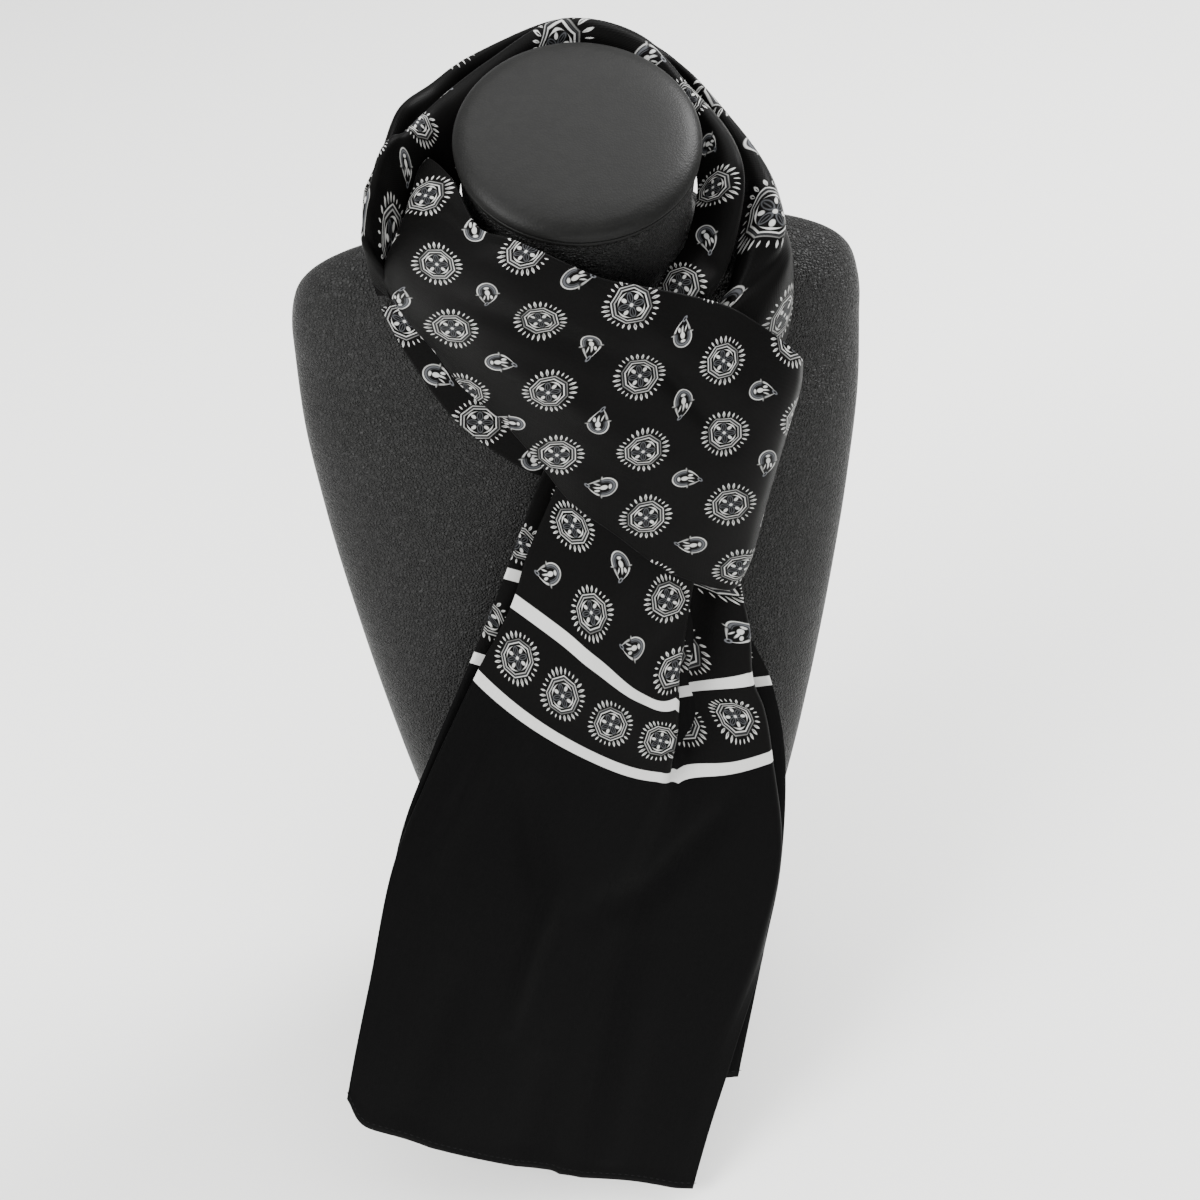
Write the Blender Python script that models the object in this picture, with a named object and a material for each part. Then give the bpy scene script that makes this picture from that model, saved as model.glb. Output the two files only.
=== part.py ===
"""A printed scarf folded double, looped round the neck of a limbless display bust.

The free ends hang down the front as two tails. The tables are in millimetres from a
point on the floor under the foot's front edge. The built objects are in metres from
the middle of the foot, +Z up, the bust facing -Y.
"""
from collections import namedtuple
from math import cos, pi, radians, sin

import bmesh
import bpy
import numpy as np

MM = 0.001

# Cloth
CLOTH_WALL = 1.4
EDGE_CURL = 1.8
BEND_LENGTH = 5.4
BEND_STEPS = 4
LEFT_STEPS = 10
RIGHT_STEPS = 5
TUCK_STATIONS = (0.34, 0.67, 1.0)
UNDER_STATIONS = (0.5, 1.0)
TAIL_BACK_SWELL = 1.0
LOOP_SWELL = 4.0

# Middle of the bust's foot, where the built object's origin is
FOOT_CENTRE = (0.0, 72.0, 0.0)

# Neck of the bust: centre of its top, forward tilt, radius
NECK_TOP = (0.0, 160.0, 453.0)
NECK_TILT = 18.5
NECK_RADIUS = 41.2

# Lean of the chest plate away from the upright
PLATE_LEAN = 24.2

BUST_SIDES = 48
CAP_SIDES = 40

UP_NECK = np.array((0.0, -sin(radians(NECK_TILT)), cos(radians(NECK_TILT))))
BACK_NECK = np.array((0.0, cos(radians(NECK_TILT)), sin(radians(NECK_TILT))))
RIGHT = np.array((1.0, 0.0, 0.0))
PLATE_OUT = np.array((0.0, -cos(radians(PLATE_LEAN)), sin(radians(PLATE_LEAN))))
FRONT = np.array((0.0, -1.0, 0.0))

# Rings of the bust body, foot to neck top
Ring = namedtuple("Ring", "height depth half_width half_depth power tilt front_swell")
BUST_RINGS = (
    Ring(0.0, 72.0, 43.5, 69.0, 3.2, 0.0, 0.0),
    Ring(5.0, 73.5, 47.5, 72.0, 3.2, 0.0, 0.0),
    Ring(60.0, 92.0, 61.0, 65.0, 3.0, 0.0, 0.0),
    Ring(120.0, 112.0, 76.5, 58.0, 3.0, 0.0, 0.0),
    Ring(180.0, 133.0, 92.0, 52.0, 3.0, 3.0, 0.0),
    Ring(240.0, 154.0, 104.0, 46.0, 3.0, 8.0, 0.0),
    Ring(290.0, 171.0, 111.5, 40.5, 3.0, 12.0, 0.0),
    Ring(330.0, 182.0, 114.5, 38.0, 2.8, 16.0, 4.0),
    Ring(360.0, 190.5, 113.0, 34.5, 2.6, 18.5, 9.0),
    Ring(375.0, 192.5, 107.0, 31.5, 2.4, 18.5, 14.0),
    Ring(384.0, 192.0, 96.0, 29.0, 2.2, 18.5, 16.0),
    Ring(389.0, 191.0, 76.0, 29.0, 2.0, 18.5, 13.0),
    Ring(393.0, 186.0, 60.0, 36.0, 2.0, 18.5, 6.0),
    Ring(397.0, 178.7, 50.0, 45.0, 2.0, 18.5, 1.0),
    Ring(405.6, 175.9, 45.5, 44.5, 2.0, 18.5, 0.0),
    Ring(415.0, 172.7, 42.0, 42.0, 2.0, 18.5, 0.0),
    Ring(428.3, 168.2, NECK_RADIUS, NECK_RADIUS, 2.0, 18.5, 0.0),
    Ring(447.7, 161.73, NECK_RADIUS, NECK_RADIUS, 2.0, 18.5, 0.0),
)
SWELL_WIDTH = 46.0

# Profile of the padded neck cap: radius, depth below the plane of its rim
Profile = namedtuple("Profile", "radius depth")
CAP_PROFILE = (
    Profile(39.5, 5.2),
    Profile(41.9, 4.3),
    Profile(42.7, 2.6),
    Profile(42.6, 1.0),
    Profile(41.2, -0.4),
    Profile(36.0, -1.7),
    Profile(24.0, -2.8),
    Profile(10.0, -3.3),
)

# Front tail: a row per section, downwards. lip is the edge of the deep pleat, fold the
# angle it turns back by, tuck the cloth between its two bends; turn and under are the
# same for the right edge, bow the swell of the left panel.
Tail = namedtuple("Tail", "left lip right bow fold tuck turn under")
FRONT_TAIL = (
    Tail((-1, 129, 352), (34, 119, 331), (55, 126, 324), 2, 180, 36, 180, 10),
    Tail((-11, 124, 336), (36, 106, 302), (54, 114, 295), 3, 180, 38, 180, 10),
    Tail((-19, 121, 318), (33, 98, 277), (55, 106, 276), 6, 180, 38, 180, 10),
    Tail((-29, 114, 298), (28, 88, 251), (58, 98, 258), 5, 180, 20, 180, 12),
    Tail((-36, 108, 279), (27, 82, 236), (59, 90, 237), 5, 180, 12, 180, 14),
    Tail((-45, 102, 263), (25, 76, 217), (64, 84, 221), 4, 165, 6, 180, 16),
    Tail((-54, 97, 248), (18, 70, 198), (67, 75, 201), 3, 70, 2, 178, 15),
    Tail((-78, 78, 207), (0, 55, 163), (70, 53, 157), 3, 25, 5, 160, 6),
    Tail((-98, 56, 172), (-14, 37, 128), (58, 31, 114), 3, 14, 5, 60, 3),
    Tail((-113, 31, 127), (-26, 16, 92), (39, 8, 74), 3, 10, 5, 14, 5),
    Tail((-124, 12, 95), (-37, -7, 53), (24, -15, 38), 3, 8, 5, 8, 5),
    Tail((-134.2, -5.4, 61.9), (-43.5, -23.8, 25), (14, -32, 11), 3, 8, 5, 6, 5),
)

# Back tail: the same scarf end, plainer, lying behind the front one
BackTail = namedtuple("BackTail", "left middle right")
BACK_TAIL = (
    BackTail((-5, 144.5, 345), (22, 142, 337), (56, 139.5, 327)),
    BackTail((-21, 134.5, 320), (15, 130, 305), (54, 131.5, 301)),
    BackTail((-38, 118, 285), (8, 110, 270), (57, 110, 260)),
    BackTail((-55, 104, 251), (4, 93, 228), (70, 96, 228)),
    BackTail((-76, 86, 213), (-2, 73, 186), (76, 80, 191)),
    BackTail((-93, 67, 181), (-10, 55, 150), (73, 56, 144)),
    BackTail((-106, 44, 141), (-17, 34, 114), (64, 35, 105)),
    BackTail((-124, 9, 82), (-32, 0, 56), (49, 0, 54)),
)

# Loop over the front: a row per section from the left round to the right turn
Leaf = namedtuple("Leaf", "top middle bottom")
LOOP_TOP_LEAF = (
    Leaf((-53.2, 173.5, 436), (-60.2, 168, 421), (-68.1, 162.9, 415)),
    Leaf((-51.8, 173, 444), (-61.8, 164, 427), (-73.2, 159, 403)),
    Leaf((-46, 152, 441), (-60, 152, 422), (-71, 158, 393)),
    Leaf((-38, 131, 440), (-53, 138, 413), (-66, 154, 385)),
    Leaf((-28, 121, 441), (-43, 130, 409), (-58, 149, 375)),
    Leaf((-15, 115, 437), (-31, 122, 404), (-49, 142, 363)),
    Leaf((2, 114, 427), (-15, 115, 394), (-35, 132, 353)),
    Leaf((16, 114, 422), (0, 108, 384), (-21, 120, 339)),
    Leaf((32, 118, 414), (14, 105, 374), (-10, 110, 327)),
    Leaf((48, 117, 408), (31, 102, 362), (6, 103, 315)),
    Leaf((62, 117, 397), (48, 102, 350), (24, 97, 300)),
    Leaf((73, 118, 388), (61, 107, 343), (44, 96, 288)),
    Leaf((77, 122, 382), (66, 114, 336), (54, 98, 285)),
    Leaf((80, 134, 378), (69, 126, 332), (59, 107, 292)),
    Leaf((76, 146, 371), (66, 137, 330), (61, 119, 302)),
)

# Stations across the loop between its two edges: shares of the row's three points and
# of the swell towards the front
Station = namedtuple("Station", "top middle bottom swell")
LOOP_STATIONS = (
    Station(0.8, 0.2, 0.0, 0.4),
    Station(0.4, 0.6, 0.0, 0.9),
    Station(0.0, 0.7, 0.3, 0.9),
    Station(0.0, 0.25, 0.75, 0.4),
)

# From the neck's top to the point inside the neck that the loop's edges curl towards
NECK_HEART = (0.0, 15.0, -60.0)

# Second leaf of the loop, next to the bust
LOOP_UNDER_LEAF = (
    Leaf((-57, 169.65, 385.15), (-66, 170.65, 383.15), (-76, 171.65, 380.65)),
    Leaf((-52, 159.65, 384.15), (-62, 163.65, 382.15), (-74, 166.65, 378.15)),
    Leaf((-38, 152.65, 379.15), (-52, 157.15, 374.15), (-67.5, 159.65, 365.15)),
    Leaf((-18, 149.65, 365.15), (-36, 151.65, 355.15), (-54, 151.15, 342.15)),
    Leaf((3, 147.65, 356.15), (-16, 146.65, 343.15), (-36, 143.65, 325.65)),
    Leaf((22, 146.65, 348.15), (3, 144.65, 333.15), (-17, 139.15, 315.15)),
    Leaf((40, 147.65, 349.15), (26, 144.65, 332.15), (8, 138.65, 314.15)),
    Leaf((57, 148.65, 351.15), (48, 144.65, 333.15), (38, 138.65, 315.15)),
)

# Bands round the neck: angle from the right side through the back, then radius and
# depth below the neck top of the inner edge, valley, crest and outer edge
Band = namedtuple("Band", "angle inner valley crest outer")
INNER_BAND = (
    Band(-60, (45, 46), (51, 43), (57.5, 46), (55, 60)),
    Band(-47, (43, 36), (52, 33), (59, 35), (56, 52)),
    Band(-34, (43.5, 32), (52, 30), (59, 34), (56, 52)),
    Band(-22, (43, 26), (52, 20), (58.5, 20), (56, 45)),
    Band(-10, (42.8, 22), (51, 11), (57, 10), (55.5, 40)),
    Band(10, (42.7, 24), (50, 11), (55.5, 15), (55, 40)),
    Band(35, (42.7, 24), (49, 11), (54.5, 17), (55, 40)),
    Band(60, (42.7, 20), (49, 7), (54.5, 6), (55, 40)),
    Band(90, (42.7, 20), (49, 4), (54.5, 2), (55, 40)),
    Band(120, (42.7, 22), (49, 10), (54.5, 12), (55, 40)),
    Band(148, (42.7, 26), (50, 15), (56, 12), (56, 40)),
    Band(163, (42.7, 30), (51, 22), (59, 9), (59.5, 42)),
    Band(172, (43, 36), (54, 30), (63, 4), (65.5, 44)),
    Band(178, (43.5, 39), (56, 36), (66.5, 4), (69.5, 46)),
    Band(184, (46.5, 43), (60, 42), (70, 9), (74, 50)),
    Band(187, (48, 46), (63.5, 50), (74.5, 18), (77.5, 54)),
    Band(190, (49.5, 48), (67, 57), (78, 33), (80, 57)),
    Band(194, (51, 50), (70, 60), (80, 47), (81.5, 58)),
)
OUTER_BAND = (
    Band(-46, (63, 52), (68, 47), (75, 47), (80, 70)),
    Band(-34, (62, 44), (68, 39), (76, 41), (82, 69)),
    Band(-20, (61, 32), (67, 28), (75, 32), (82, 66)),
    Band(-6, (60.5, 28), (65, 24), (70, 26), (79, 64)),
    Band(8, (58.6, 30), (63, 25), (67, 27), (75, 62)),
    Band(25, (58.2, 31), (62, 26), (65, 28), (71, 61)),
    Band(45, (57.9, 27), (62, 22), (64.5, 23), (69, 60)),
    Band(65, (57.9, 21), (62, 15), (64.5, 16), (69, 59)),
    Band(90, (58.4, 18), (62, 12), (64.5, 13), (69, 59)),
    Band(121, (59.2, 24), (62, 18), (65.5, 19), (70, 60)),
    Band(137, (60, 27), (63.5, 20), (67.5, 21), (71.5, 61)),
    Band(152, (62.5, 23), (65, 16), (69, 17), (74, 62)),
    Band(163, (66, 28), (68, 23), (71.5, 25), (76, 62)),
    Band(172, (71, 34), (73, 29), (76, 31), (79, 62)),
)


def spline(points, steps):
    """Catmull-Rom through the first axis of points, steps samples to a span."""
    pts = np.asarray(points, float)
    before = 2 * pts[0] - pts[1]
    after = 2 * pts[-1] - pts[-2]
    ext = np.concatenate(([before], pts, [after]))
    out = []
    for i in range(1, len(ext) - 2):
        a, b, c, d = ext[i - 1], ext[i], ext[i + 1], ext[i + 2]
        for k in range(steps):
            t = k / steps
            out.append(0.5 * (2 * b + (c - a) * t + (2 * a - 5 * b + 4 * c - d) * t * t
                              + (3 * b - a - 3 * c + d) * t ** 3))
    out.append(ext[-2])
    return np.array(out)


def even(line, count):
    """The line resampled to count points at equal distances along it."""
    far = np.concatenate(([0.0], np.cumsum(np.linalg.norm(np.diff(line, axis=0), axis=1))))
    at = np.linspace(0.0, far[-1], count)
    return np.column_stack([np.interp(at, far, line[:, i]) for i in range(3)])


def unit(vector):
    """The vector at length one."""
    return vector / np.linalg.norm(vector)


def surface(sections, across, along):
    """A grid of points: every section splined and evened out, then splined along."""
    lines = [even(spline(section, 8), across) for section in sections]
    return spline(lines, along)


def normals(grid):
    """Unit normals of a grid of points."""
    du = np.gradient(grid, axis=0)
    dv = np.gradient(grid, axis=1)
    out = np.cross(du, dv)
    return out / np.linalg.norm(out, axis=2, keepdims=True)


def material(name, colour, roughness, metallic):
    """A plain Principled material."""
    mat = bpy.data.materials.new(name)
    mat.use_nodes = True
    shader = mat.node_tree.nodes["Principled BSDF"]
    shader.inputs["Base Color"].default_value = (*colour, 1.0)
    shader.inputs["Roughness"].default_value = roughness
    shader.inputs["Metallic"].default_value = metallic
    return mat


def add_object(name, verts, faces, mat):
    """An object from points in millimetres, its faces turned outwards."""
    mesh = bpy.data.meshes.new(name)
    mesh.from_pydata([tuple((p - np.array(FOOT_CENTRE)) * MM) for p in verts], [], faces)
    bm = bmesh.new()
    bm.from_mesh(mesh)
    bmesh.ops.triangulate(bm, faces=[f for f in bm.faces if len(f.verts) > 4])
    bmesh.ops.recalc_face_normals(bm, faces=bm.faces)
    bm.to_mesh(mesh)
    bm.free()
    mesh.materials.append(mat)
    mesh.shade_smooth()
    mesh.set_sharp_from_angle(angle=radians(50.0))
    obj = bpy.data.objects.new(name, mesh)
    bpy.context.scene.collection.objects.link(obj)
    return obj


def cloth(name, grid, mat):
    """A closed wall of cloth about a grid of points on its middle surface."""
    rows, cols, _ = grid.shape
    out = normals(grid) * CLOTH_WALL / 2
    verts = np.concatenate(((grid + out).reshape(-1, 3), (grid - out).reshape(-1, 3)))
    back = rows * cols
    faces = []
    for r in range(rows - 1):
        for c in range(cols - 1):
            a, b = r * cols + c, r * cols + c + 1
            d, e = a + cols, b + cols
            faces.append((a, b, e, d))
            faces.append((back + a, back + d, back + e, back + b))
    rim = [(0, c) for c in range(cols)] + [(r, cols - 1) for r in range(1, rows)]
    rim += [(rows - 1, c) for c in range(cols - 2, -1, -1)]
    rim += [(r, 0) for r in range(rows - 2, 0, -1)]
    for here, there in zip(rim, rim[1:] + rim[:1]):
        a, b = here[0] * cols + here[1], there[0] * cols + there[1]
        faces.append((a, back + a, back + b, b))
    return add_object(name, verts, faces, mat)


def bend(start, ahead, side, angle):
    """Points round a bend of fixed length that turns from ahead to side, and the way after it."""
    last = radians(angle)
    radius = BEND_LENGTH / last
    points = []
    for turned in np.linspace(0.0, last, BEND_STEPS + 1)[1:]:
        points.append(start + (ahead * sin(turned) + side * (1 - cos(turned))) * radius)
    return points, ahead * cos(last) + side * sin(last)


def tail_section(row):
    """One front-tail section: left panel, pleat, right panel and its turned-under edge."""
    left, lip, right = (np.array(p, float) for p in (row.left, row.lip, row.right))
    ahead, swell = unit(lip - left), PLATE_OUT * row.bow
    line = [left + (lip - left) * t + swell * sin(pi * t) for t in np.linspace(0, 1, LEFT_STEPS)]
    fold = radians(row.fold)
    under, way = bend(lip, ahead, -PLATE_OUT, row.fold)
    line += under
    line += [under[-1] + way * row.tuck * t for t in TUCK_STATIONS]
    back, _ = bend(line[-1], way, ahead * sin(fold) + PLATE_OUT * cos(fold), row.fold)
    line += back
    start = line[-1]
    line += [start + (right - start) * t for t in np.linspace(0, 1, RIGHT_STEPS + 1)[1:]]
    edge, way = bend(right, unit(right - start), -PLATE_OUT, row.turn)
    line += edge
    line += [edge[-1] + way * row.under * t for t in UNDER_STATIONS]
    return line


def back_section(row):
    """Control points of one back-tail section."""
    left, mid, right = (np.array(p, float) for p in row)
    return left, (left + mid) / 2 + PLATE_OUT * TAIL_BACK_SWELL, mid, (mid + right) / 2, right


def leaf_section(row):
    """Control points of a loop section with both long edges curled in."""
    top, mid, bottom = (np.array(p, float) for p in row)
    inward = unit(np.array(NECK_TOP) + NECK_HEART - mid) * EDGE_CURL
    line = [top + inward]
    for station in LOOP_STATIONS:
        line.append(top * station.top + mid * station.middle + bottom * station.bottom
                    + FRONT * LOOP_SWELL * station.swell)
    return line + [bottom + inward]


def neck_point(angle, radius, depth):
    """A point about the neck: angle, radius, depth below the neck top."""
    turn = radians(angle)
    return (np.array(NECK_TOP) + RIGHT * radius * cos(turn) + BACK_NECK * radius * sin(turn)
            - UP_NECK * depth)


def band_section(row):
    """Control points of one band section, inner edge to outer edge."""
    shoulder = ((row.crest[0] + row.outer[0]) / 2 + 1.0, row.crest[1] * 0.6 + row.outer[1] * 0.4)
    stations = (row.inner, row.valley, row.crest, shoulder, row.outer)
    return [neck_point(row.angle, *station) for station in stations]


def build_bust(mat):
    """The bust body: rings from the foot up to the neck top, closed at both ends."""
    verts, faces = [], []
    for ring in BUST_RINGS:
        tilt = radians(ring.tilt)
        back = np.array((0.0, cos(tilt), sin(tilt)))
        centre = np.array((0.0, ring.depth, ring.height))
        for k in range(BUST_SIDES):
            turn = 2 * pi * (k + 0.5) / BUST_SIDES
            c, s = cos(turn), sin(turn)
            across = ring.half_width * np.sign(c) * abs(c) ** (2 / ring.power)
            deep = ring.half_depth * np.sign(s) * abs(s) ** (2 / ring.power)
            if s < 0:
                deep -= ring.front_swell * np.exp(-(across / SWELL_WIDTH) ** 2) * abs(s)
            verts.append(centre + RIGHT * across + back * deep)
    last = len(BUST_RINGS) - 1
    for r in range(last):
        for k in range(BUST_SIDES):
            n = (k + 1) % BUST_SIDES
            faces.append((r * BUST_SIDES + k, r * BUST_SIDES + n,
                          (r + 1) * BUST_SIDES + n, (r + 1) * BUST_SIDES + k))
    faces.append(tuple(range(BUST_SIDES)))
    faces.append(tuple(last * BUST_SIDES + k for k in range(BUST_SIDES)))
    return add_object("bust_body", verts, faces, mat)


def build_cap(mat):
    """The padded cap on the neck, turned about the neck's axis."""
    verts, faces = [], []
    for profile in CAP_PROFILE:
        for k in range(CAP_SIDES):
            verts.append(neck_point(360.0 * k / CAP_SIDES, profile.radius, profile.depth))
    last = len(CAP_PROFILE) - 1
    for r in range(last):
        for k in range(CAP_SIDES):
            n = (k + 1) % CAP_SIDES
            faces.append((r * CAP_SIDES + k, r * CAP_SIDES + n,
                          (r + 1) * CAP_SIDES + n, (r + 1) * CAP_SIDES + k))
    faces.append(tuple(range(CAP_SIDES)))
    faces.append(tuple(last * CAP_SIDES + k for k in range(CAP_SIDES)))
    return add_object("neck_cap", verts, faces, mat)


def main():
    """Build every part of the scarf and the bust."""
    for obj in list(bpy.data.objects):
        bpy.data.objects.remove(obj)
    leatherette = material("grey_leatherette", (0.105, 0.105, 0.11), 0.55, 0.0)
    scarf = material("black_printed_cloth", (0.012, 0.012, 0.014), 0.62, 0.0)
    build_bust(leatherette)
    build_cap(leatherette)
    cloth("tail_front", spline([tail_section(r) for r in FRONT_TAIL], 2), scarf)
    cloth("tail_back", surface([back_section(r) for r in BACK_TAIL], 13, 2), scarf)
    cloth("loop_top_leaf", surface([leaf_section(r) for r in LOOP_TOP_LEAF], 22, 2), scarf)
    cloth("loop_under_leaf", surface([tuple(np.array(p, float) for p in (r.top, r.middle, r.bottom))
                                      for r in LOOP_UNDER_LEAF], 9, 2), scarf)
    cloth("neck_band_inner", surface([band_section(r) for r in INNER_BAND], 15, 2), scarf)
    cloth("neck_band_outer", surface([band_section(r) for r in OUTER_BAND], 14, 2), scarf)


main()
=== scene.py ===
"""A printed scarf looped round the neck of a limbless display bust: the dressed scene.

Lengths in the tables are millimetres from the floor under the foot's front edge, as in
the part's source. The meshes are in metres from the middle of the foot. Print positions
are in repeats of the print: across from one long edge, and along from the upper stripe.
"""
import logging
from dataclasses import dataclass
from enum import Enum
from math import cos, log, pi, radians, sin
from typing import NamedTuple, Union

import bmesh
import bpy
import numpy as np
from mathutils import Matrix, Vector


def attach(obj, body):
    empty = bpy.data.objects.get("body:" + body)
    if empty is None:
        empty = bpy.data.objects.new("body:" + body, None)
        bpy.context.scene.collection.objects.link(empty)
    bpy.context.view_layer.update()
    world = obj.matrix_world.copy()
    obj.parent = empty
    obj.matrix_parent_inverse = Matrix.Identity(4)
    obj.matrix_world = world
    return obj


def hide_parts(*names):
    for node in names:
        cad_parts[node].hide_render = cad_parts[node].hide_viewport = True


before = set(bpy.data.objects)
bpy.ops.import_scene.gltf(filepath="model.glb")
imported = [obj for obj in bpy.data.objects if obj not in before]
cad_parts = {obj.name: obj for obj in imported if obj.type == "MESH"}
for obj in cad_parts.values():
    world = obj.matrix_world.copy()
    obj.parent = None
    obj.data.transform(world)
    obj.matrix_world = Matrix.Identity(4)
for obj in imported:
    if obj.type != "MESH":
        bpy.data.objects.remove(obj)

LOG = logging.getLogger("scarf")

MM = 0.001
REPEAT = 25.71
PRINT_SOFT = 0.008
FOOT_CENTRE = np.array((0.0, 72.0, 0.0))
NECK_TOP = np.array((0.0, 160.0, 453.0))
NECK_TILT = radians(18.5)
NECK_RADIUS = 41.2
PLATE_LEAN = radians(24.2)

UP_NECK = np.array((0.0, -sin(NECK_TILT), cos(NECK_TILT)))
BACK_NECK = np.array((0.0, cos(NECK_TILT), sin(NECK_TILT)))
RIGHT = np.array((1.0, 0.0, 0.0))
PLATE_OUT = np.array((0.0, -cos(PLATE_LEAN), sin(PLATE_LEAN)))
FRONT = np.array((0.0, -1.0, 0.0))
LOOP_HEART = NECK_TOP + np.array((0.0, 15.0, -60.0))

Triple = tuple[float, float, float]
Pair = tuple[float, float]


class Held(Enum):
    """How a stretch of the scarf is held."""

    DRAPED = "draped"
    HUNG = "hung"
    GATHERED = "gathered"


# Curves and grids


def spline(points: np.ndarray, steps: int) -> np.ndarray:
    """Run a Catmull-Rom curve through the first axis of points.

    Args:
        points: Control values; the first axis is the way along.
        steps: Samples to a span.

    Returns:
        The samples, the last point included.
    """
    pts = np.asarray(points, float)
    ext = np.concatenate(([2 * pts[0] - pts[1]], pts, [2 * pts[-1] - pts[-2]]))
    out = []
    for i in range(1, len(ext) - 2):
        a, b, c, d = ext[i - 1], ext[i], ext[i + 1], ext[i + 2]
        for k in range(steps):
            t = k / steps
            out.append(0.5 * (2 * b + (c - a) * t + (2 * a - 5 * b + 4 * c - d) * t * t
                              + (3 * b - a - 3 * c + d) * t ** 3))
    out.append(ext[-2])
    return np.array(out)


def steady(at: np.ndarray, values: np.ndarray, wanted: np.ndarray) -> np.ndarray:
    """Interpolate smoothly without overshoot between rows.

    Args:
        at: Increasing position of each row.
        values: One row of values for each position.
        wanted: Positions to interpolate at.

    Returns:
        One row of values for each wanted position.
    """
    gap = np.diff(at)[:, None]
    slope = np.diff(values, axis=0) / gap
    tangent = np.zeros_like(values)
    same = slope[:-1] * slope[1:] > 0
    mean = 2 * slope[:-1] * slope[1:] / np.where(same, slope[:-1] + slope[1:], 1.0)
    tangent[1:-1] = np.where(same, mean, 0.0)
    tangent[0], tangent[-1] = slope[0], slope[-1]
    span = np.clip(np.searchsorted(at, wanted, side="right") - 1, 0, len(at) - 2)
    h = gap[span]
    t = ((wanted - at[span]) / gap[span, 0])[:, None]
    start = (2 * t ** 3 - 3 * t ** 2 + 1) * values[span] + (t ** 3 - 2 * t ** 2 + t) * h * tangent[span]
    return start + (3 * t ** 2 - 2 * t ** 3) * values[span + 1] + (t ** 3 - t ** 2) * h * tangent[span + 1]


def far_along(line: np.ndarray) -> np.ndarray:
    """Return how far each point of a line is from its first point, measured along it."""
    return np.concatenate(([0.0], np.cumsum(np.linalg.norm(np.diff(line, axis=0), axis=1))))


def far_from_end(line: np.ndarray) -> np.ndarray:
    """Return how far each point of a line is from its last point, measured along it."""
    return far_along(line[::-1])[::-1]


def even(line: np.ndarray, count: int) -> np.ndarray:
    """Resample a line at equal distances, print positions included.

    Args:
        line: Points with x, y, z first and any further columns after them.
        count: Points wanted.

    Returns:
        The resampled line.
    """
    far = far_along(line[:, :3])
    at = np.linspace(0.0, far[-1], count)
    return np.column_stack([np.interp(at, far, line[:, i]) for i in range(line.shape[1])])


def unit(vector: np.ndarray) -> np.ndarray:
    """Return the vector at length one."""
    return vector / np.linalg.norm(vector)


def grid_normals(grid: np.ndarray) -> np.ndarray:
    """Return unit normals of a grid of points."""
    out = np.cross(np.gradient(grid, axis=0), np.gradient(grid, axis=1))
    return out / np.linalg.norm(out, axis=2, keepdims=True)


def neck_point(angle: float, radius: float, depth: float) -> np.ndarray:
    """Return a point about the neck.

    Args:
        angle: Degrees from the right side through the back.
        radius: Distance from the neck's axis.
        depth: Distance below the neck's top.

    Returns:
        The point in millimetres.
    """
    turn = radians(angle)
    return NECK_TOP + RIGHT * radius * cos(turn) + BACK_NECK * radius * sin(turn) - UP_NECK * depth


def add_object(name: str, data: bpy.types.ID) -> bpy.types.Object:
    """Make an object of the data and link it to the scene.

    Args:
        name: Object name.
        data: Its mesh, curve, light or camera.

    Returns:
        The object.
    """
    obj = bpy.data.objects.new(name, data)
    bpy.context.scene.collection.objects.link(obj)
    return obj


def make_object(name: str, points: np.ndarray, faces: list[tuple[int, ...]],
                prints: np.ndarray | None = None) -> bpy.types.Object:
    """Make a smooth closed object from points in millimetres.

    Args:
        name: Object name.
        points: One row for each vertex.
        faces: Vertex numbers of each face.
        prints: Print position of each vertex, or None.

    Returns:
        The linked object, its faces outwards.
    """
    mesh = bpy.data.meshes.new(name)
    mesh.from_pydata(((points - FOOT_CENTRE) * MM).tolist(), [], faces)
    bm = bmesh.new()
    bm.from_mesh(mesh)
    bmesh.ops.recalc_face_normals(bm, faces=bm.faces)
    bm.to_mesh(mesh)
    bm.free()
    if prints is not None:
        corner = np.empty(len(mesh.loops), dtype=np.int32)
        mesh.loops.foreach_get("vertex_index", corner)
        layer = mesh.uv_layers.new(name="print")
        layer.data.foreach_set("uv", np.ascontiguousarray(prints[corner], dtype=np.float32).ravel())
    mesh.shade_smooth()
    return add_object(name, mesh)


# Shader networks


class Wire:
    """A value in a shader network, on which arithmetic adds Math nodes."""

    def __init__(self, net: "Net", socket: bpy.types.NodeSocket) -> None:
        """Keep the network and the socket that gives the value."""
        self.net = net
        self.socket = socket

    def __add__(self, other: "Value") -> "Wire":
        """Return the sum."""
        return self.net.math("ADD", self, other)

    def __radd__(self, other: float) -> "Wire":
        """Return the sum."""
        return self.net.math("ADD", other, self)

    def __sub__(self, other: "Value") -> "Wire":
        """Return the difference."""
        return self.net.math("SUBTRACT", self, other)

    def __rsub__(self, other: float) -> "Wire":
        """Return the difference."""
        return self.net.math("SUBTRACT", other, self)

    def __mul__(self, other: "Value") -> "Wire":
        """Return the product."""
        return self.net.math("MULTIPLY", self, other)

    def __truediv__(self, other: "Value") -> "Wire":
        """Return the quotient."""
        return self.net.math("DIVIDE", self, other)


Value = Union[Wire, float]


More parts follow.
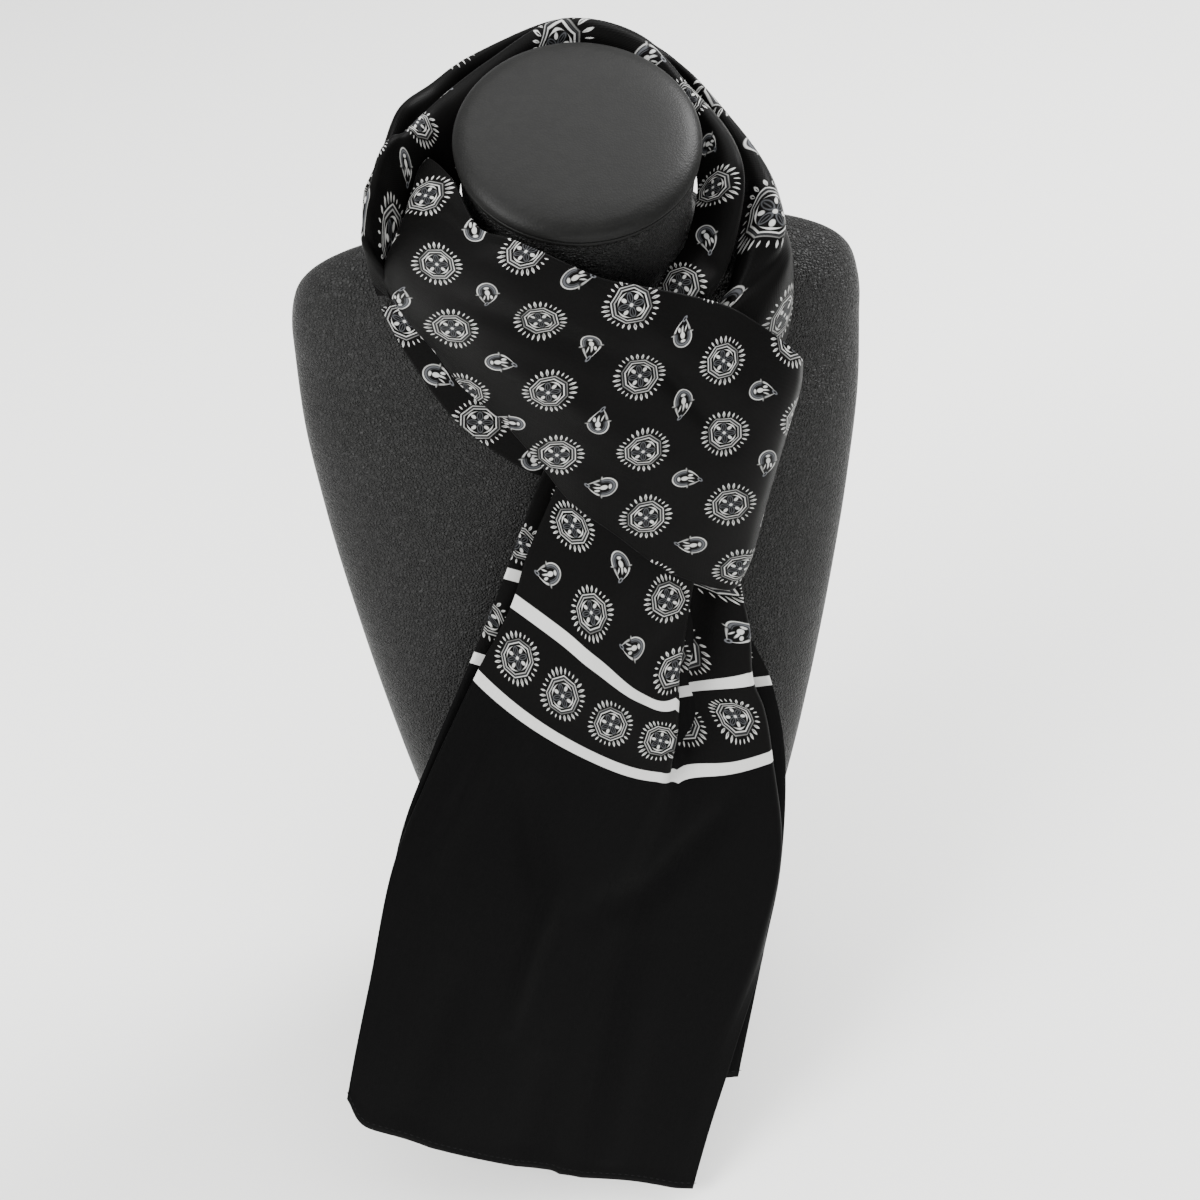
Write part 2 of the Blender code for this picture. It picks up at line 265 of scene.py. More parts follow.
class Net:
    """One node tree and the ways of adding to it."""

    oval_soft = 0.01

    def __init__(self, tree: bpy.types.NodeTree) -> None:
        """Keep the tree."""
        self.tree = tree

    def node(self, kind: str, **settings: object) -> bpy.types.Node:
        """Add a node.

        Args:
            kind: Node type.
            **settings: Properties to set on it.

        Returns:
            The node.
        """
        made = self.tree.nodes.new(kind)
        for key, setting in settings.items():
            setattr(made, key, setting)
        return made

    def feed(self, socket: bpy.types.NodeSocket, value: Value) -> None:
        """Link a wire to a socket, or set a plain number on it."""
        if isinstance(value, Wire):
            self.tree.links.new(value.socket, socket)
        else:
            socket.default_value = value

    def fill(self, node: bpy.types.Node, **values: Value) -> bpy.types.Node:
        """Feed a node's inputs by name, spaces written as underscores, and return the node.

        Args:
            node: The node.
            **values: Numbers or wires by the input's name.

        Returns:
            The node.
        """
        for key, value in values.items():
            self.feed(node.inputs[key.replace("_", " ")], value)
        return node

    def math(self, operation: str, *values: Value, clamp: bool = False) -> Wire:
        """Add a Math node.

        Args:
            operation: Blender's name of the operation.
            *values: Its inputs.
            clamp: Whether the result is kept from 0 to 1.

        Returns:
            The result.
        """
        made = self.node("ShaderNodeMath", operation=operation, use_clamp=clamp)
        for socket, value in zip(made.inputs, values):
            self.feed(socket, value)
        return Wire(self, made.outputs[0])

    def line(self, value: Value, centre: Value, half: Value, soft: float = PRINT_SOFT) -> Wire:
        """Return a mask that is 1 within half of the centre value."""
        away = self.math("ABSOLUTE", value - centre)
        return self.math("MULTIPLY_ADD", self.math("SUBTRACT", half, away), 1.0 / soft, 0.5, clamp=True)

    def within(self, value: Wire, limit: Value, soft: float = PRINT_SOFT) -> Wire:
        """Return a mask that is 1 where the value is under the limit."""
        return self.math("MULTIPLY_ADD", self.math("SUBTRACT", limit, value), 1.0 / soft, 0.5, clamp=True)

    def oval(self, x: Wire, y: Wire, shape: "Oval") -> Wire:
        """Return a mask that is 1 inside an upright oval.

        Args:
            x: Place across.
            y: Place up.
            shape: The oval.

        Returns:
            The mask.
        """
        leaning = x + y * shape.lean if shape.lean else x
        across = (leaning - shape.middle[0]) / shape.half[0]
        up = (y - shape.middle[1]) / shape.half[1]
        return self.within(self.hypot(across, up), 1.0, self.oval_soft / min(shape.half))

    def mix(self, share: Value, low: Value, high: Value) -> Wire:
        """Return low where the share is 0 and high where it is 1.

        Args:
            share: From 0 to 1.
            low: Value at 0.
            high: Value at 1.

        Returns:
            The value.
        """
        made = self.node("ShaderNodeMix", data_type="FLOAT")
        for socket, value in zip(made.inputs[:4], (share, None, low, high)):
            if value is not None:
                self.feed(socket, value)
        return Wire(self, made.outputs[0])

    def tint(self, share: Value, low: "Colour", high: "Colour") -> Wire:
        """Mix two colours; each is a triple or a wire.

        Args:
            share: From 0 to 1.
            low: Colour at 0.
            high: Colour at 1.

        Returns:
            The colour.
        """
        made = self.node("ShaderNodeMix", data_type="RGBA")
        self.feed(made.inputs[0], share)
        for socket, value in ((made.inputs[6], low), (made.inputs[7], high)):
            if isinstance(value, Wire):
                self.feed(socket, value)
            else:
                socket.default_value = (*value, 1.0)
        return Wire(self, made.outputs[2])

    def biggest(self, *values: Wire) -> Wire:
        """Return the largest of the wires.

        Args:
            *values: The wires.

        Returns:
            The largest value.
        """
        best = values[0]
        for value in values[1:]:
            best = self.math("MAXIMUM", best, value)
        return best

    def noise(self, vector: Wire, scale: float, detail: float = 2.0, rough: float = 0.5) -> Wire:
        """Return fractal noise on a vector.

        Args:
            vector: Place.
            scale: Size of the noise, in features to the unit.
            detail: Octaves.
            rough: Share kept from one octave to the next.

        Returns:
            The noise, about 0.5.
        """
        made = self.node("ShaderNodeTexNoise")
        self.fill(made, Vector=vector, Scale=scale, Detail=detail, Roughness=rough)
        return Wire(self, made.outputs[0])

    def stretch(self, vector: Wire, scale: Triple, turn: Triple = (0.0, 0.0, 0.0)) -> Wire:
        """Return the vector scaled and turned by a Mapping node."""
        made = self.fill(self.node("ShaderNodeMapping"), Vector=vector, Scale=scale, Rotation=turn)
        return Wire(self, made.outputs[0])

    def parts(self, vector: Wire) -> tuple[Wire, Wire]:
        """Return the first two parts of a vector.

        Args:
            vector: The vector.

        Returns:
            Its x and y.
        """
        made = self.node("ShaderNodeSeparateXYZ")
        self.feed(made.inputs[0], vector)
        return Wire(self, made.outputs[0]), Wire(self, made.outputs[1])

    def use(self, tree: bpy.types.NodeTree, **values: Value) -> dict[str, Wire]:
        """Place a group.

        Args:
            tree: The group's tree.
            **values: Its inputs by name, spaces written as underscores.

        Returns:
            Its outputs by name.
        """
        made = self.fill(self.node("ShaderNodeGroup", node_tree=tree), **values)
        return {socket.name: Wire(self, socket) for socket in made.outputs}

    def hypot(self, x: Wire, y: Wire) -> Wire:
        """Return the length of a vector with these two parts."""
        return self.math("SQRT", x * x + y * y)

    def emboss(self, shader: bpy.types.Node, height: Wire, strength: float, distance: float) -> None:
        """Bump a shader's surface by a height; the distance is in metres."""
        made = self.fill(self.node("ShaderNodeBump"), Strength=strength, Distance=distance, Height=height)
        self.feed(shader.inputs["Normal"], Wire(self, made.outputs[0]))


Colour = Union[Triple, Wire]


class Oval(NamedTuple):
    """An upright oval of the print; it may lean by a share of its height."""

    middle: Pair
    half: Pair
    lean: float = 0.0


class Stroke(NamedTuple):
    """A drawn line: where it runs, its half width and the softness of its edge."""

    at: float
    half: float
    soft: float = PRINT_SOFT


def start_group(title: str, kind: str, takes: dict[str, str],
                gives: dict[str, str]) -> tuple[Net, dict[str, Wire], bpy.types.Node]:
    """Start a node group.

    Args:
        title: Name of the group.
        kind: Type of its tree.
        takes: Socket type of each input by name.
        gives: Socket type of each output by name.

    Returns:
        Its network, its inputs by name and its output node.
    """
    tree = bpy.data.node_groups.new(title, kind)
    for way, sockets in (("INPUT", takes), ("OUTPUT", gives)):
        for key, socket_type in sockets.items():
            tree.interface.new_socket(name=key, in_out=way, socket_type=socket_type)
    net = Net(tree)
    entry = net.node("NodeGroupInput")
    wires = {socket.name: Wire(net, socket) for socket in entry.outputs if socket.name}
    return net, wires, net.node("NodeGroupOutput")


class Effect:
    """A shared effect: a shader node group with named inputs and outputs."""

    title = "effect"
    takes: dict[str, str] = {}
    gives: tuple[str, ...] = ()

    def __init__(self) -> None:
        """Build the group once."""
        gives = dict.fromkeys(self.gives, "NodeSocketFloat")
        net, wires, leave = start_group(self.title, "ShaderNodeTree", self.takes, gives)
        self.tree = net.tree
        net.fill(leave, **self.draw(net, wires))

    def draw(self, net: Net, takes: dict[str, Wire]) -> dict[str, Wire]:
        """Build the nodes.

        Args:
            net: The group's network.
            takes: Its inputs by name.

        Returns:
            Its outputs by name.
        """
        raise NotImplementedError


class Medallion(Effect):
    """One medallion: a fringe of petals, two octagons and a rosette of four petals."""

    title = "medallion"
    takes = {"X": "NodeSocketFloat", "Y": "NodeSocketFloat", "Side": "NodeSocketFloat"}
    gives = ("White", "Grey")
    petals = 28
    fringe_at = 0.372
    fringe_out = 0.006
    petal_half = (0.0088, 0.0095)
    petal_length = (0.034, 0.026)
    hollow_size = (0.42, 0.62)
    hollow_in = 0.016
    outer_ring = Stroke(0.283, 0.0075)
    inner_ring = Stroke(0.236, 0.0090)
    faint_ring = Stroke(0.262, 0.006)
    glow_turn = 2.2
    dot = Oval((0.132, 0.0), (0.040, 0.027))
    arc_at = 0.196
    heart_size = 0.026
    leaf_at = 0.108
    leaf_half = (0.082, 0.043)
    leaf_edge = Stroke(0.9, 0.14, 0.2)
    vein_width = Stroke(0.0, 0.006)
    vein_length = Stroke(0.11, 0.05)

    def draw(self, net: Net, takes: dict[str, Wire]) -> dict[str, Wire]:
        """Draw the medallion about the middle of its cell, sizes in repeats.

        Args:
            net: The group's network.
            takes: Place in the cell, and the side that glows.

        Returns:
            The white and the grey of the motif.
        """
        x, y = takes["X"], takes["Y"]
        reach = net.hypot(x, y)
        turn = net.math("ARCTAN2", y, x)
        slant = 0.5 - net.math("COSINE", turn * 4.0) * 0.5
        # Fringe: the petals on the slanting sides are longer, wider and hollow
        share = (turn - pi / 4) * (self.petals / (2 * pi))
        off = share - net.math("ROUND", share)
        across = off * reach * (2 * pi / self.petals)
        out = reach - self.fringe_at - slant * self.fringe_out
        half = self.petal_half[0] + slant * self.petal_half[1]
        length = self.petal_length[0] + slant * self.petal_length[1]
        taper = half * (1.15 - net.math("ABSOLUTE", out / length) * 0.35)
        petal = net.hypot(across / taper, out / length)
        hollow = net.hypot(across / (half * self.hollow_size[0]),
                           (out + self.hollow_in) / (length * self.hollow_size[1]))
        fringe = net.within(petal, 1.0, 0.3) * (1.0 - net.within(hollow, 1.0, 0.4) * slant)
        # Octagons, brighter on opposite sides
        eighth = turn * (4 / pi)
        corner = (eighth - net.math("ROUND", eighth)) * (pi / 4)
        flat = reach * net.math("COSINE", corner)
        glow = net.math("COSINE", turn - self.glow_turn) * takes["Side"]
        outer = net.line(flat, *self.outer_ring) * (0.55 + glow * 0.36)
        inner = net.line(flat, *self.inner_ring) * (0.72 - glow * 0.24)
        # Rosette: a dot and an arc on each axis, an outlined petal on each diagonal
        quarter = turn * (2 / pi)
        lean = (quarter - net.math("ROUND", quarter)) * (pi / 2)
        along, side = reach * net.math("COSINE", lean), net.math("ABSOLUTE", reach * net.math("SINE", lean))
        dots = net.oval(along, side, self.dot)
        arcs = net.line(reach, self.arc_at, 0.014 - net.math("ABSOLUTE", lean) * 0.024)
        heart = net.within(reach, self.heart_size)
        skew = (quarter + 0.5 - net.math("ROUND", quarter + 0.5)) * (pi / 2)
        far, wide = reach * net.math("COSINE", skew), reach * net.math("SINE", skew)
        leaf = net.hypot((far - self.leaf_at) / self.leaf_half[0], wide / self.leaf_half[1])
        edge = net.line(leaf, *self.leaf_edge)
        vein = net.line(wide, *self.vein_width) * net.line(far, *self.vein_length)
        white = net.biggest(fringe, outer, inner, dots, arcs, heart)
        grey = net.biggest(edge * 0.55, vein * 0.4, net.line(flat, *self.faint_ring) * 0.2)
        return {"White": white, "Grey": grey}


class Paisley(Effect):
    """One small paisley: a ringed round end, a pear in it and a curled tip."""

    title = "paisley"
    takes = {"X": "NodeSocketFloat", "Y": "NodeSocketFloat"}
    gives = ("White", "Grey")
    radius = 0.158
    tip_at = 0.235
    taper_power = 2.1
    least_width = 0.02
    size = (0.92, 0.80)
    raised = 0.045
    hook_from = 0.03
    hook = 1.9
    ring = Stroke(0.95, 0.052, 0.07)
    flank = Stroke(0.88, 0.10, 0.12)
    band = Stroke(0.74, 0.085, 0.07)
    seam = Stroke(0.56, 0.03, 0.05)
    pear = Oval((0.0, 0.012), (0.036, 0.046))
    stalk = Oval((0.0, 0.080), (0.014, 0.055))
    pip = Oval((0.0, -0.066), (0.036, 0.019))
    leaf = Oval((0.034, 0.095), (0.019, 0.032), lean=-0.20)
    bar = Oval((-0.030, 0.100), (0.010, 0.036), lean=0.30)
    ear = Oval((0.158, 0.040), (0.026, 0.009))
    curl_at = (-0.002, 0.222)
    curl = Stroke(0.026, 0.009)

    def reach(self, net: Net, x: Wire, y: Wire) -> Wire:
        """Return how far out a point is, where the drop's outline is 1.

        Args:
            net: The group's network.
            x: Place across.
            y: Place towards the tip.

        Returns:
            The reach.
        """
        low = net.math("MINIMUM", y, 0.0) / self.radius
        climb = net.math("MAXIMUM", y, 0.0) / self.tip_at
        taper = 1.0 - net.math("POWER", climb, self.taper_power)
        width = net.math("MAXIMUM", taper, self.least_width) * self.radius
        return net.hypot(x / width, low)

    def draw(self, net: Net, takes: dict[str, Wire]) -> dict[str, Wire]:
        """Draw the paisley with its tip towards +Y, sizes in repeats.

        Args:
            net: The group's network.
            takes: Place in the cell.

        Returns:
            The white and the grey of the motif.
        """
        y = takes["Y"] * self.size[1] + self.raised
        rise = net.math("MAXIMUM", y - self.hook_from, 0.0)
        x = takes["X"] * self.size[0] + rise * rise * self.hook
        bowl = net.within(y, 0.045, 0.03)
        neck = 1.0 - net.within(y, 0.07, 0.03)
        left = net.within(x, -0.01, 0.10)
        outside = self.reach(net, x, y)
        ring = net.line(outside, *self.ring) * bowl * net.mix(left, 0.72, 1.0)
        before_tip = net.within(y, self.tip_at - 0.02, 0.02)
        flank = net.line(outside, *self.flank) * neck * before_tip * net.mix(left, 0.95, 0.6)
        band = net.line(outside, *self.band) * bowl
        seam = net.line(outside, *self.seam) * bowl
        inside = [net.oval(x, y, shape) for shape in (self.pear, self.stalk, self.pip, self.leaf, self.bar)]
        ear = net.oval(net.math("ABSOLUTE", x), y, self.ear)
        curl = net.line(net.hypot(x - self.curl_at[0], y - self.curl_at[1]), *self.curl)
        white = net.biggest(ring, *inside, ear * 0.5, flank)
        grey = net.biggest(band * 0.75, curl, seam * 0.5)
        return {"White": white, "Grey": grey}


class Foulard(Effect):
    """The whole print: rows of medallions and paisleys, and the striped border."""

    title = "foulard_print"
    takes = {"Vector": "NodeSocketVector"}
    gives = ("White", "Grey", "Panel")
    first_row = 0.62
    border_row = -0.75
    lower_stripe = -1.5
    stripe_half = 0.107
    motif_white = 0.82

    def __init__(self, medallion: Medallion, paisley: Paisley) -> None:
        """Keep the two motifs and build the group."""
        self.medallion = medallion
        self.paisley = paisley
        super().__init__()

    def draw(self, net: Net, takes: dict[str, Wire]) -> dict[str, Wire]:
        """Lay the motifs out on the print positions.

        Args:
            net: The group's network.
            takes: The print position.

        Returns:
            White, grey and the plain panel's mask.
        """
        u, v = net.parts(takes["Vector"])
        column = net.math("FLOOR", u)
        x = u - column - 0.5
        height = v - (self.first_row - 0.5)
        row = net.math("FLOOR", height)
        border = net.within(v, 0.12, 0.001)
        y = net.mix(border, height - row - 0.5, v - self.border_row)
        odd = net.math("FLOORED_MODULO", column + row + 1.0, 2.0)
        round_one = net.math("MAXIMUM", 1.0 - odd, border)
        side = net.math("FLOORED_MODULO", column, 2.0) * 2.0 - 1.0
        odd_row = net.math("FLOORED_MODULO", row, 2.0)
        tip_u = odd_row * 2.0 - 1.0
        tip_v = net.mix(odd_row, net.math("FLOORED_MODULO", row, 4.0) - 1.0,
                        1.0 - net.math("FLOORED_MODULO", column + 1.0, 4.0))
        medal = net.use(self.medallion.tree, X=x, Y=y, Side=side)
        small = net.use(self.paisley.tree, X=(tip_u * y - tip_v * x) * cos(pi / 4),
                        Y=(tip_v * y + tip_u * x) * cos(pi / 4))
        stripes = net.biggest(net.line(v, 0.0, self.stripe_half),
                              net.line(v, self.lower_stripe, self.stripe_half))
        motif = net.mix(round_one, small["White"], medal["White"])
        white = net.biggest(motif * self.motif_white, stripes)
        grey = net.mix(round_one, small["Grey"], medal["Grey"])
        return {"White": white, "Grey": grey, "Panel": net.within(v, self.lower_stripe)}


class Weave(Effect):
    """Fine twill threads with slubs that run along the cloth."""

    title = "weave"
    takes = {"Vector": "NodeSocketVector", "Threads": "NodeSocketFloat"}
    gives = ("Height", "Streak")
    slub_scale = (26.0, 1.6, 1.0)
    mottle_scale = 9.0

    def draw(self, net: Net, takes: dict[str, Wire]) -> dict[str, Wire]:
        """Draw threads on the print positions.

        Args:
            net: The group's network.
            takes: The print position and the threads to a repeat.

        Returns:
            The relief and the streaks.
        """
        u, v = net.parts(takes["Vector"])
        across, along = u * takes["Threads"], v * takes["Threads"]
        warp = net.math("SINE", across * (2 * pi))
        twill = net.math("SINE", (across + along) * pi)
        streak = net.noise(net.stretch(takes["Vector"], self.slub_scale), 1.0, detail=3.0, rough=0.6)
        mottle = net.noise(takes["Vector"], self.mottle_scale, detail=3.0, rough=0.6)
        height = warp * 0.25 + twill * 0.35 + streak * 0.9
        return {"Height": height, "Streak": streak * 0.6 + mottle * 0.4}


class Pebble(Effect):
    """Leatherette grain: small rounded pebbles with fine creases between them."""

    title = "pebble_grain"
    takes = {"Vector": "NodeSocketVector", "Size": "NodeSocketFloat"}
    gives = ("Height", "Tone")
    wobble_scale = 260.0
    wobble_share = 0.0016
    patch_scale = 55.0
    crease_scale = (95.0, 95.0, 300.0)
    crease_turn = (0.0, 0.5, 0.0)

    def draw(self, net: Net, takes: dict[str, Wire]) -> dict[str, Wire]:
        """Draw the grain on positions in metres; Size is cells to the metre.

        Args:
            net: The group's network.
            takes: The position and the cells to the metre.

        Returns:
            The relief and the tone.
        """
        wobble = net.fill(net.node("ShaderNodeTexNoise"), Vector=takes["Vector"], Scale=self.wobble_scale)
        bent = net.node("ShaderNodeMix", data_type="VECTOR")
        wobbled = Wire(net, wobble.outputs["Color"])
        for slot, value in ((0, self.wobble_share), (4, takes["Vector"]), (5, wobbled)):
            net.feed(bent.inputs[slot], value)
        cells = net.node("ShaderNodeTexVoronoi", feature="DISTANCE_TO_EDGE")
        net.fill(cells, Vector=Wire(net, bent.outputs[1]), Scale=takes["Size"])
        crack = net.math("MULTIPLY", Wire(net, cells.outputs["Distance"]), 3.2, clamp=True)
        patch = net.noise(takes["Vector"], self.patch_scale, detail=4.0, rough=0.6)
        pulled = net.stretch(takes["Vector"], self.crease_scale, self.crease_turn)
        drawn = net.noise(pulled, 1.0, detail=3.0, rough=0.6)
        crease = net.math("MULTIPLY", net.math("ABSOLUTE", drawn - 0.5), 9.0, clamp=True)
        height = crack * 0.65 + patch * 0.2 + crease * 0.45
        return {"Height": height, "Tone": patch}


# Finishes


def shade(colour: Triple, share: float) -> Triple:
    """Return the colour at a share of its brightness."""
    return tuple(share * part for part in colour)


def start_material(name: str) -> tuple[bpy.types.Material, Net, bpy.types.Node]:
    """Return a new material, its network and its Principled shader.

    Args:
        name: The material's name.

    Returns:
        The three of them.
    """
    mat = bpy.data.materials.new(name)
    mat.use_nodes = True
    return mat, Net(mat.node_tree), mat.node_tree.nodes["Principled BSDF"]


@dataclass(frozen=True)
class PrintedCloth:
    """The scarf's cloth: smooth twill printed in white and grey on black."""

    name: str = "printed_cloth_black"
    ground: Triple = (0.0017, 0.00165, 0.0016)
    panel: Triple = (0.0004, 0.0004, 0.0005)
    white: Triple = (0.52, 0.52, 0.505)
    grey: Triple = (0.085, 0.088, 0.095)
    threads: float = 60.0
    field_roughness: float = 0.38
    panel_roughness: float = 0.46
    gloss: float = 0.034
    sheen: float = 0.008
    sheen_roughness: float = 0.35
    relief: float = 0.25
    relief_height: float = 0.0002

    def make(self, foulard: Foulard, weave: Weave) -> bpy.types.Material:
        """Build the material.

        Args:
            foulard: The print.
            weave: The threads.

        Returns:
            The material.
        """
        mat, net, shader = start_material(self.name)
        place = Wire(net, net.node("ShaderNodeUVMap", uv_map="print").outputs[0])
        drawn = net.use(foulard.tree, Vector=place)
        woven = net.use(weave.tree, Vector=place, Threads=self.threads)
        ground = net.tint(drawn["Panel"], self.ground, self.panel)
        worn = net.tint(woven["Streak"] * 0.5, ground, shade(self.ground, 1.9))
        greyed = net.tint(drawn["Grey"], worn, self.grey)
        colour = net.tint(drawn["White"] * (0.88 + woven["Streak"] * 0.16), greyed, self.white)
        roughness = net.mix(drawn["Panel"], self.field_roughness, self.panel_roughness)
        net.fill(shader, Base_Color=colour, Roughness=roughness + woven["Streak"] * 0.12,
                 Specular_IOR_Level=self.gloss, Sheen_Weight=self.sheen,
                 Sheen_Roughness=self.sheen_roughness)
        net.emboss(shader, woven["Height"], self.relief, self.relief_height)
        return mat


@dataclass(frozen=True)
class Thread:
    """The black sewing thread of the hems."""

    name: str = "hem_thread_black"
    colour: Triple = (0.0032, 0.0032, 0.0034)
    roughness: float = 0.7
    gloss: float = 0.08

    def make(self) -> bpy.types.Material:
        """Build the material: a matt twisted thread.

        Returns:
            The material.
        """
        mat, net, shader = start_material(self.name)
        place = Wire(net, net.node("ShaderNodeTexCoord").outputs["Object"])
        colour = net.tint(net.noise(place, 4000.0), self.colour, shade(self.colour, 2.2))
        net.fill(shader, Base_Color=colour, Roughness=self.roughness, Specular_IOR_Level=self.gloss)
        return mat


@dataclass(frozen=True)
class Leatherette:
    """The bust's grained dark grey leatherette."""

    name: str = "leatherette_grey"
    colour: Triple = (0.0135, 0.0135, 0.0131)
    roughness: float = 0.43
    cells: float = 720.0
    relief: float = 1.0
    gloss: float = 0.16
    relief_height: float = 0.0010

    def make(self, pebble: Pebble) -> bpy.types.Material:
        """Build the material.

        Args:
            pebble: The grain.

        Returns:
            The material.
        """
        mat, net, shader = start_material(self.name)
        place = Wire(net, net.node("ShaderNodeTexCoord").outputs["Object"])
        grain = net.use(pebble.tree, Vector=place, Size=self.cells)
        colour = net.tint(grain["Height"] * 0.9, shade(self.colour, 0.72), shade(self.colour, 1.12))
        net.fill(shader, Base_Color=colour, Roughness=self.roughness + grain["Tone"] * 0.14,
                 Specular_IOR_Level=self.gloss)
        net.emboss(shader, grain["Height"], self.relief, self.relief_height)
        return mat


@dataclass(frozen=True)
class Paper:
    """The pale matt floor."""

    name: str = "pale_floor"
    colour: Triple = (0.78, 0.78, 0.765)
    roughness: float = 0.9
    gloss: float = 0.1

    def make(self) -> bpy.types.Material:
        """Build the material: nearly even, with a faint cloudiness.

        Returns:
            The material.
        """
        mat, net, shader = start_material(self.name)
        place = Wire(net, net.node("ShaderNodeTexCoord").outputs["Object"])
        colour = net.tint(net.noise(place, 3.0), self.colour, shade(self.colour, 0.985))
        net.fill(shader, Base_Color=colour, Roughness=self.roughness, Specular_IOR_Level=self.gloss)
        return mat


# Sheets of the scarf


class Fold(NamedTuple):
    """A soft ridge, or a trough if its height is negative, on a stretch of cloth."""

    start: Pair
    end: Pair
    width: float
    height: float


@dataclass
class Stretch:
    """One stretch of the scarf: a thin closed shell on its solid's form."""

    name: str = "stretch"
    node: str = ""
    held: Held = Held.DRAPED
    rests_on: tuple[str, ...] = ()
    cut: Pair = (0.1, 0.1)
    wall: float = 1.0
    across: int = 80
    steps: int = 10
    hem: bool = False
    folds: tuple[Fold, ...] = ()
    line_steps: int = 12
    fold_limits: Pair = (0.04, 0.96)
    fold_power: float = 0.6
    edge_margins: Pair = (0.03, 0.04)
    edge_rise: float = 0.25
    hem_wall: float = 0.55
    hem_depth: float = 4.5
    hem_ease: float = 0.35

    def sections(self) -> list[np.ndarray]:
        """Return control points, row by row: x, y, z, print across, print along."""
        raise NotImplementedError

    def grid(self) -> np.ndarray:
        """Return the middle surface with its print positions, folds included."""
        lines = [even(spline(section, self.line_steps), self.across) for section in self.sections()]
        return self.relief(spline(np.array(lines), self.steps))

    def relief(self, grid: np.ndarray) -> np.ndarray:
        """Raise the soft folds.

        Args:
            grid: Rows of x, y, z, print across, print along.

        Returns:
            The grid with its points moved along the cloth's normals.
        """
        rise = np.zeros(grid.shape[:2])
        place = grid[..., 3:5]
        for fold in self.folds:
            start, end = np.array(fold.start), np.array(fold.end)
            way = end - start
            share = np.clip(((place - start) @ way) / (way @ way), 0.0, 1.0)
            away = np.linalg.norm(place - start - share[..., None] * way, axis=-1) * REPEAT
            fade = np.sin(pi * np.clip(share, *self.fold_limits)) ** self.fold_power
            rise += fold.height * fade * np.exp(-(away / fold.width) ** 2)
        end, side = (np.clip(np.minimum(np.linspace(0, 1, count), np.linspace(1, 0, count)) / margin,
                             self.edge_rise, 1.0) for count, margin in zip(rise.shape, self.edge_margins))
        rise *= end[:, None] * side[None, :]
        moved = grid.copy()
        moved[..., :3] += self.facing(grid) * rise[..., None]
        return moved

    def facing(self, grid: np.ndarray) -> np.ndarray:
        """Return unit normals on the side away from the bust.

        Args:
            grid: Rows of x, y, z, print across, print along.

        Returns:
            One normal for each point.
        """
        out = grid_normals(grid[..., :3])
        return -out if ((grid[..., :3] - LOOP_HEART) * out).sum() < 0 else out

    def thickness(self, grid: np.ndarray) -> np.ndarray:
        """Return the wall at each point: thicker along a hem.

        Args:
            grid: Rows of x, y, z, print across, print along.

        Returns:
            The wall in millimetres.
        """
        wall = np.full(grid.shape[:2], self.wall)
        if self.hem:
            from_end = (grid[..., 4] - grid[..., 4].min()) * REPEAT
            wall += self.hem_wall / 2 * (1.0 - np.tanh((from_end - self.hem_depth) / (2 * self.hem_ease)))
        return wall

    def build(self, cloth: bpy.types.Material) -> bpy.types.Object:
        """Make the stretch, dress it and hide the part it stands for.

        Args:
            cloth: The printed cloth.

        Returns:
            The piece.
        """
        grid = self.grid()
        rows, cols = grid.shape[:2]
        out = self.facing(grid) * (self.thickness(grid) / 2)[..., None]
        points = np.concatenate(((grid[..., :3] + out).reshape(-1, 3), (grid[..., :3] - out).reshape(-1, 3)))
        prints = np.tile(grid[..., 3:5].reshape(-1, 2), (2, 1))
        back = rows * cols
        r, c = np.meshgrid(np.arange(rows - 1), np.arange(cols - 1), indexing="ij")
        a = (r * cols + c).ravel()
        quads = np.stack((a, a + 1, a + cols + 1, a + cols), axis=1)
        faces = quads.tolist() + (quads[:, ::-1] + back).tolist()
        rim = [(0, k) for k in range(cols)] + [(k, cols - 1) for k in range(1, rows)]
        rim += [(rows - 1, k) for k in range(cols - 2, -1, -1)] + [(k, 0) for k in range(rows - 2, 0, -1)]
        ring = [i * cols + k for i, k in rim]
        faces += [(p, back + p, back + q, q) for p, q in zip(ring, ring[1:] + ring[:1])]
        piece = make_object(self.name, points, faces, prints)
        piece.data.materials.append(cloth)
        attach(piece, "root")
        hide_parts(self.node)
        return piece

    def declare(self, piece: bpy.types.Object, with_pieces: tuple[bpy.types.Object, ...] = ()) -> None:
        """Take the piece and the pieces sewn to it, and do nothing with them.

        Args:
            piece: The stretch's piece; not used.
            with_pieces: Pieces that are sewn to it; not used.
        """


class TailRow(NamedTuple):
    """A section of the front tail; lip, rise and end are print positions across."""

    left: Triple
    lip: Triple
    right: Triple
    bow: float
    fold: float
    tuck: float
    turn: float
    under: float
    along: float
    lip_print: float
    rise_print: float
    end_print: float
    sag: float
    sag_at: float
    recess: float
    drop: float = 0.0
    lip_ease: float = 0.0


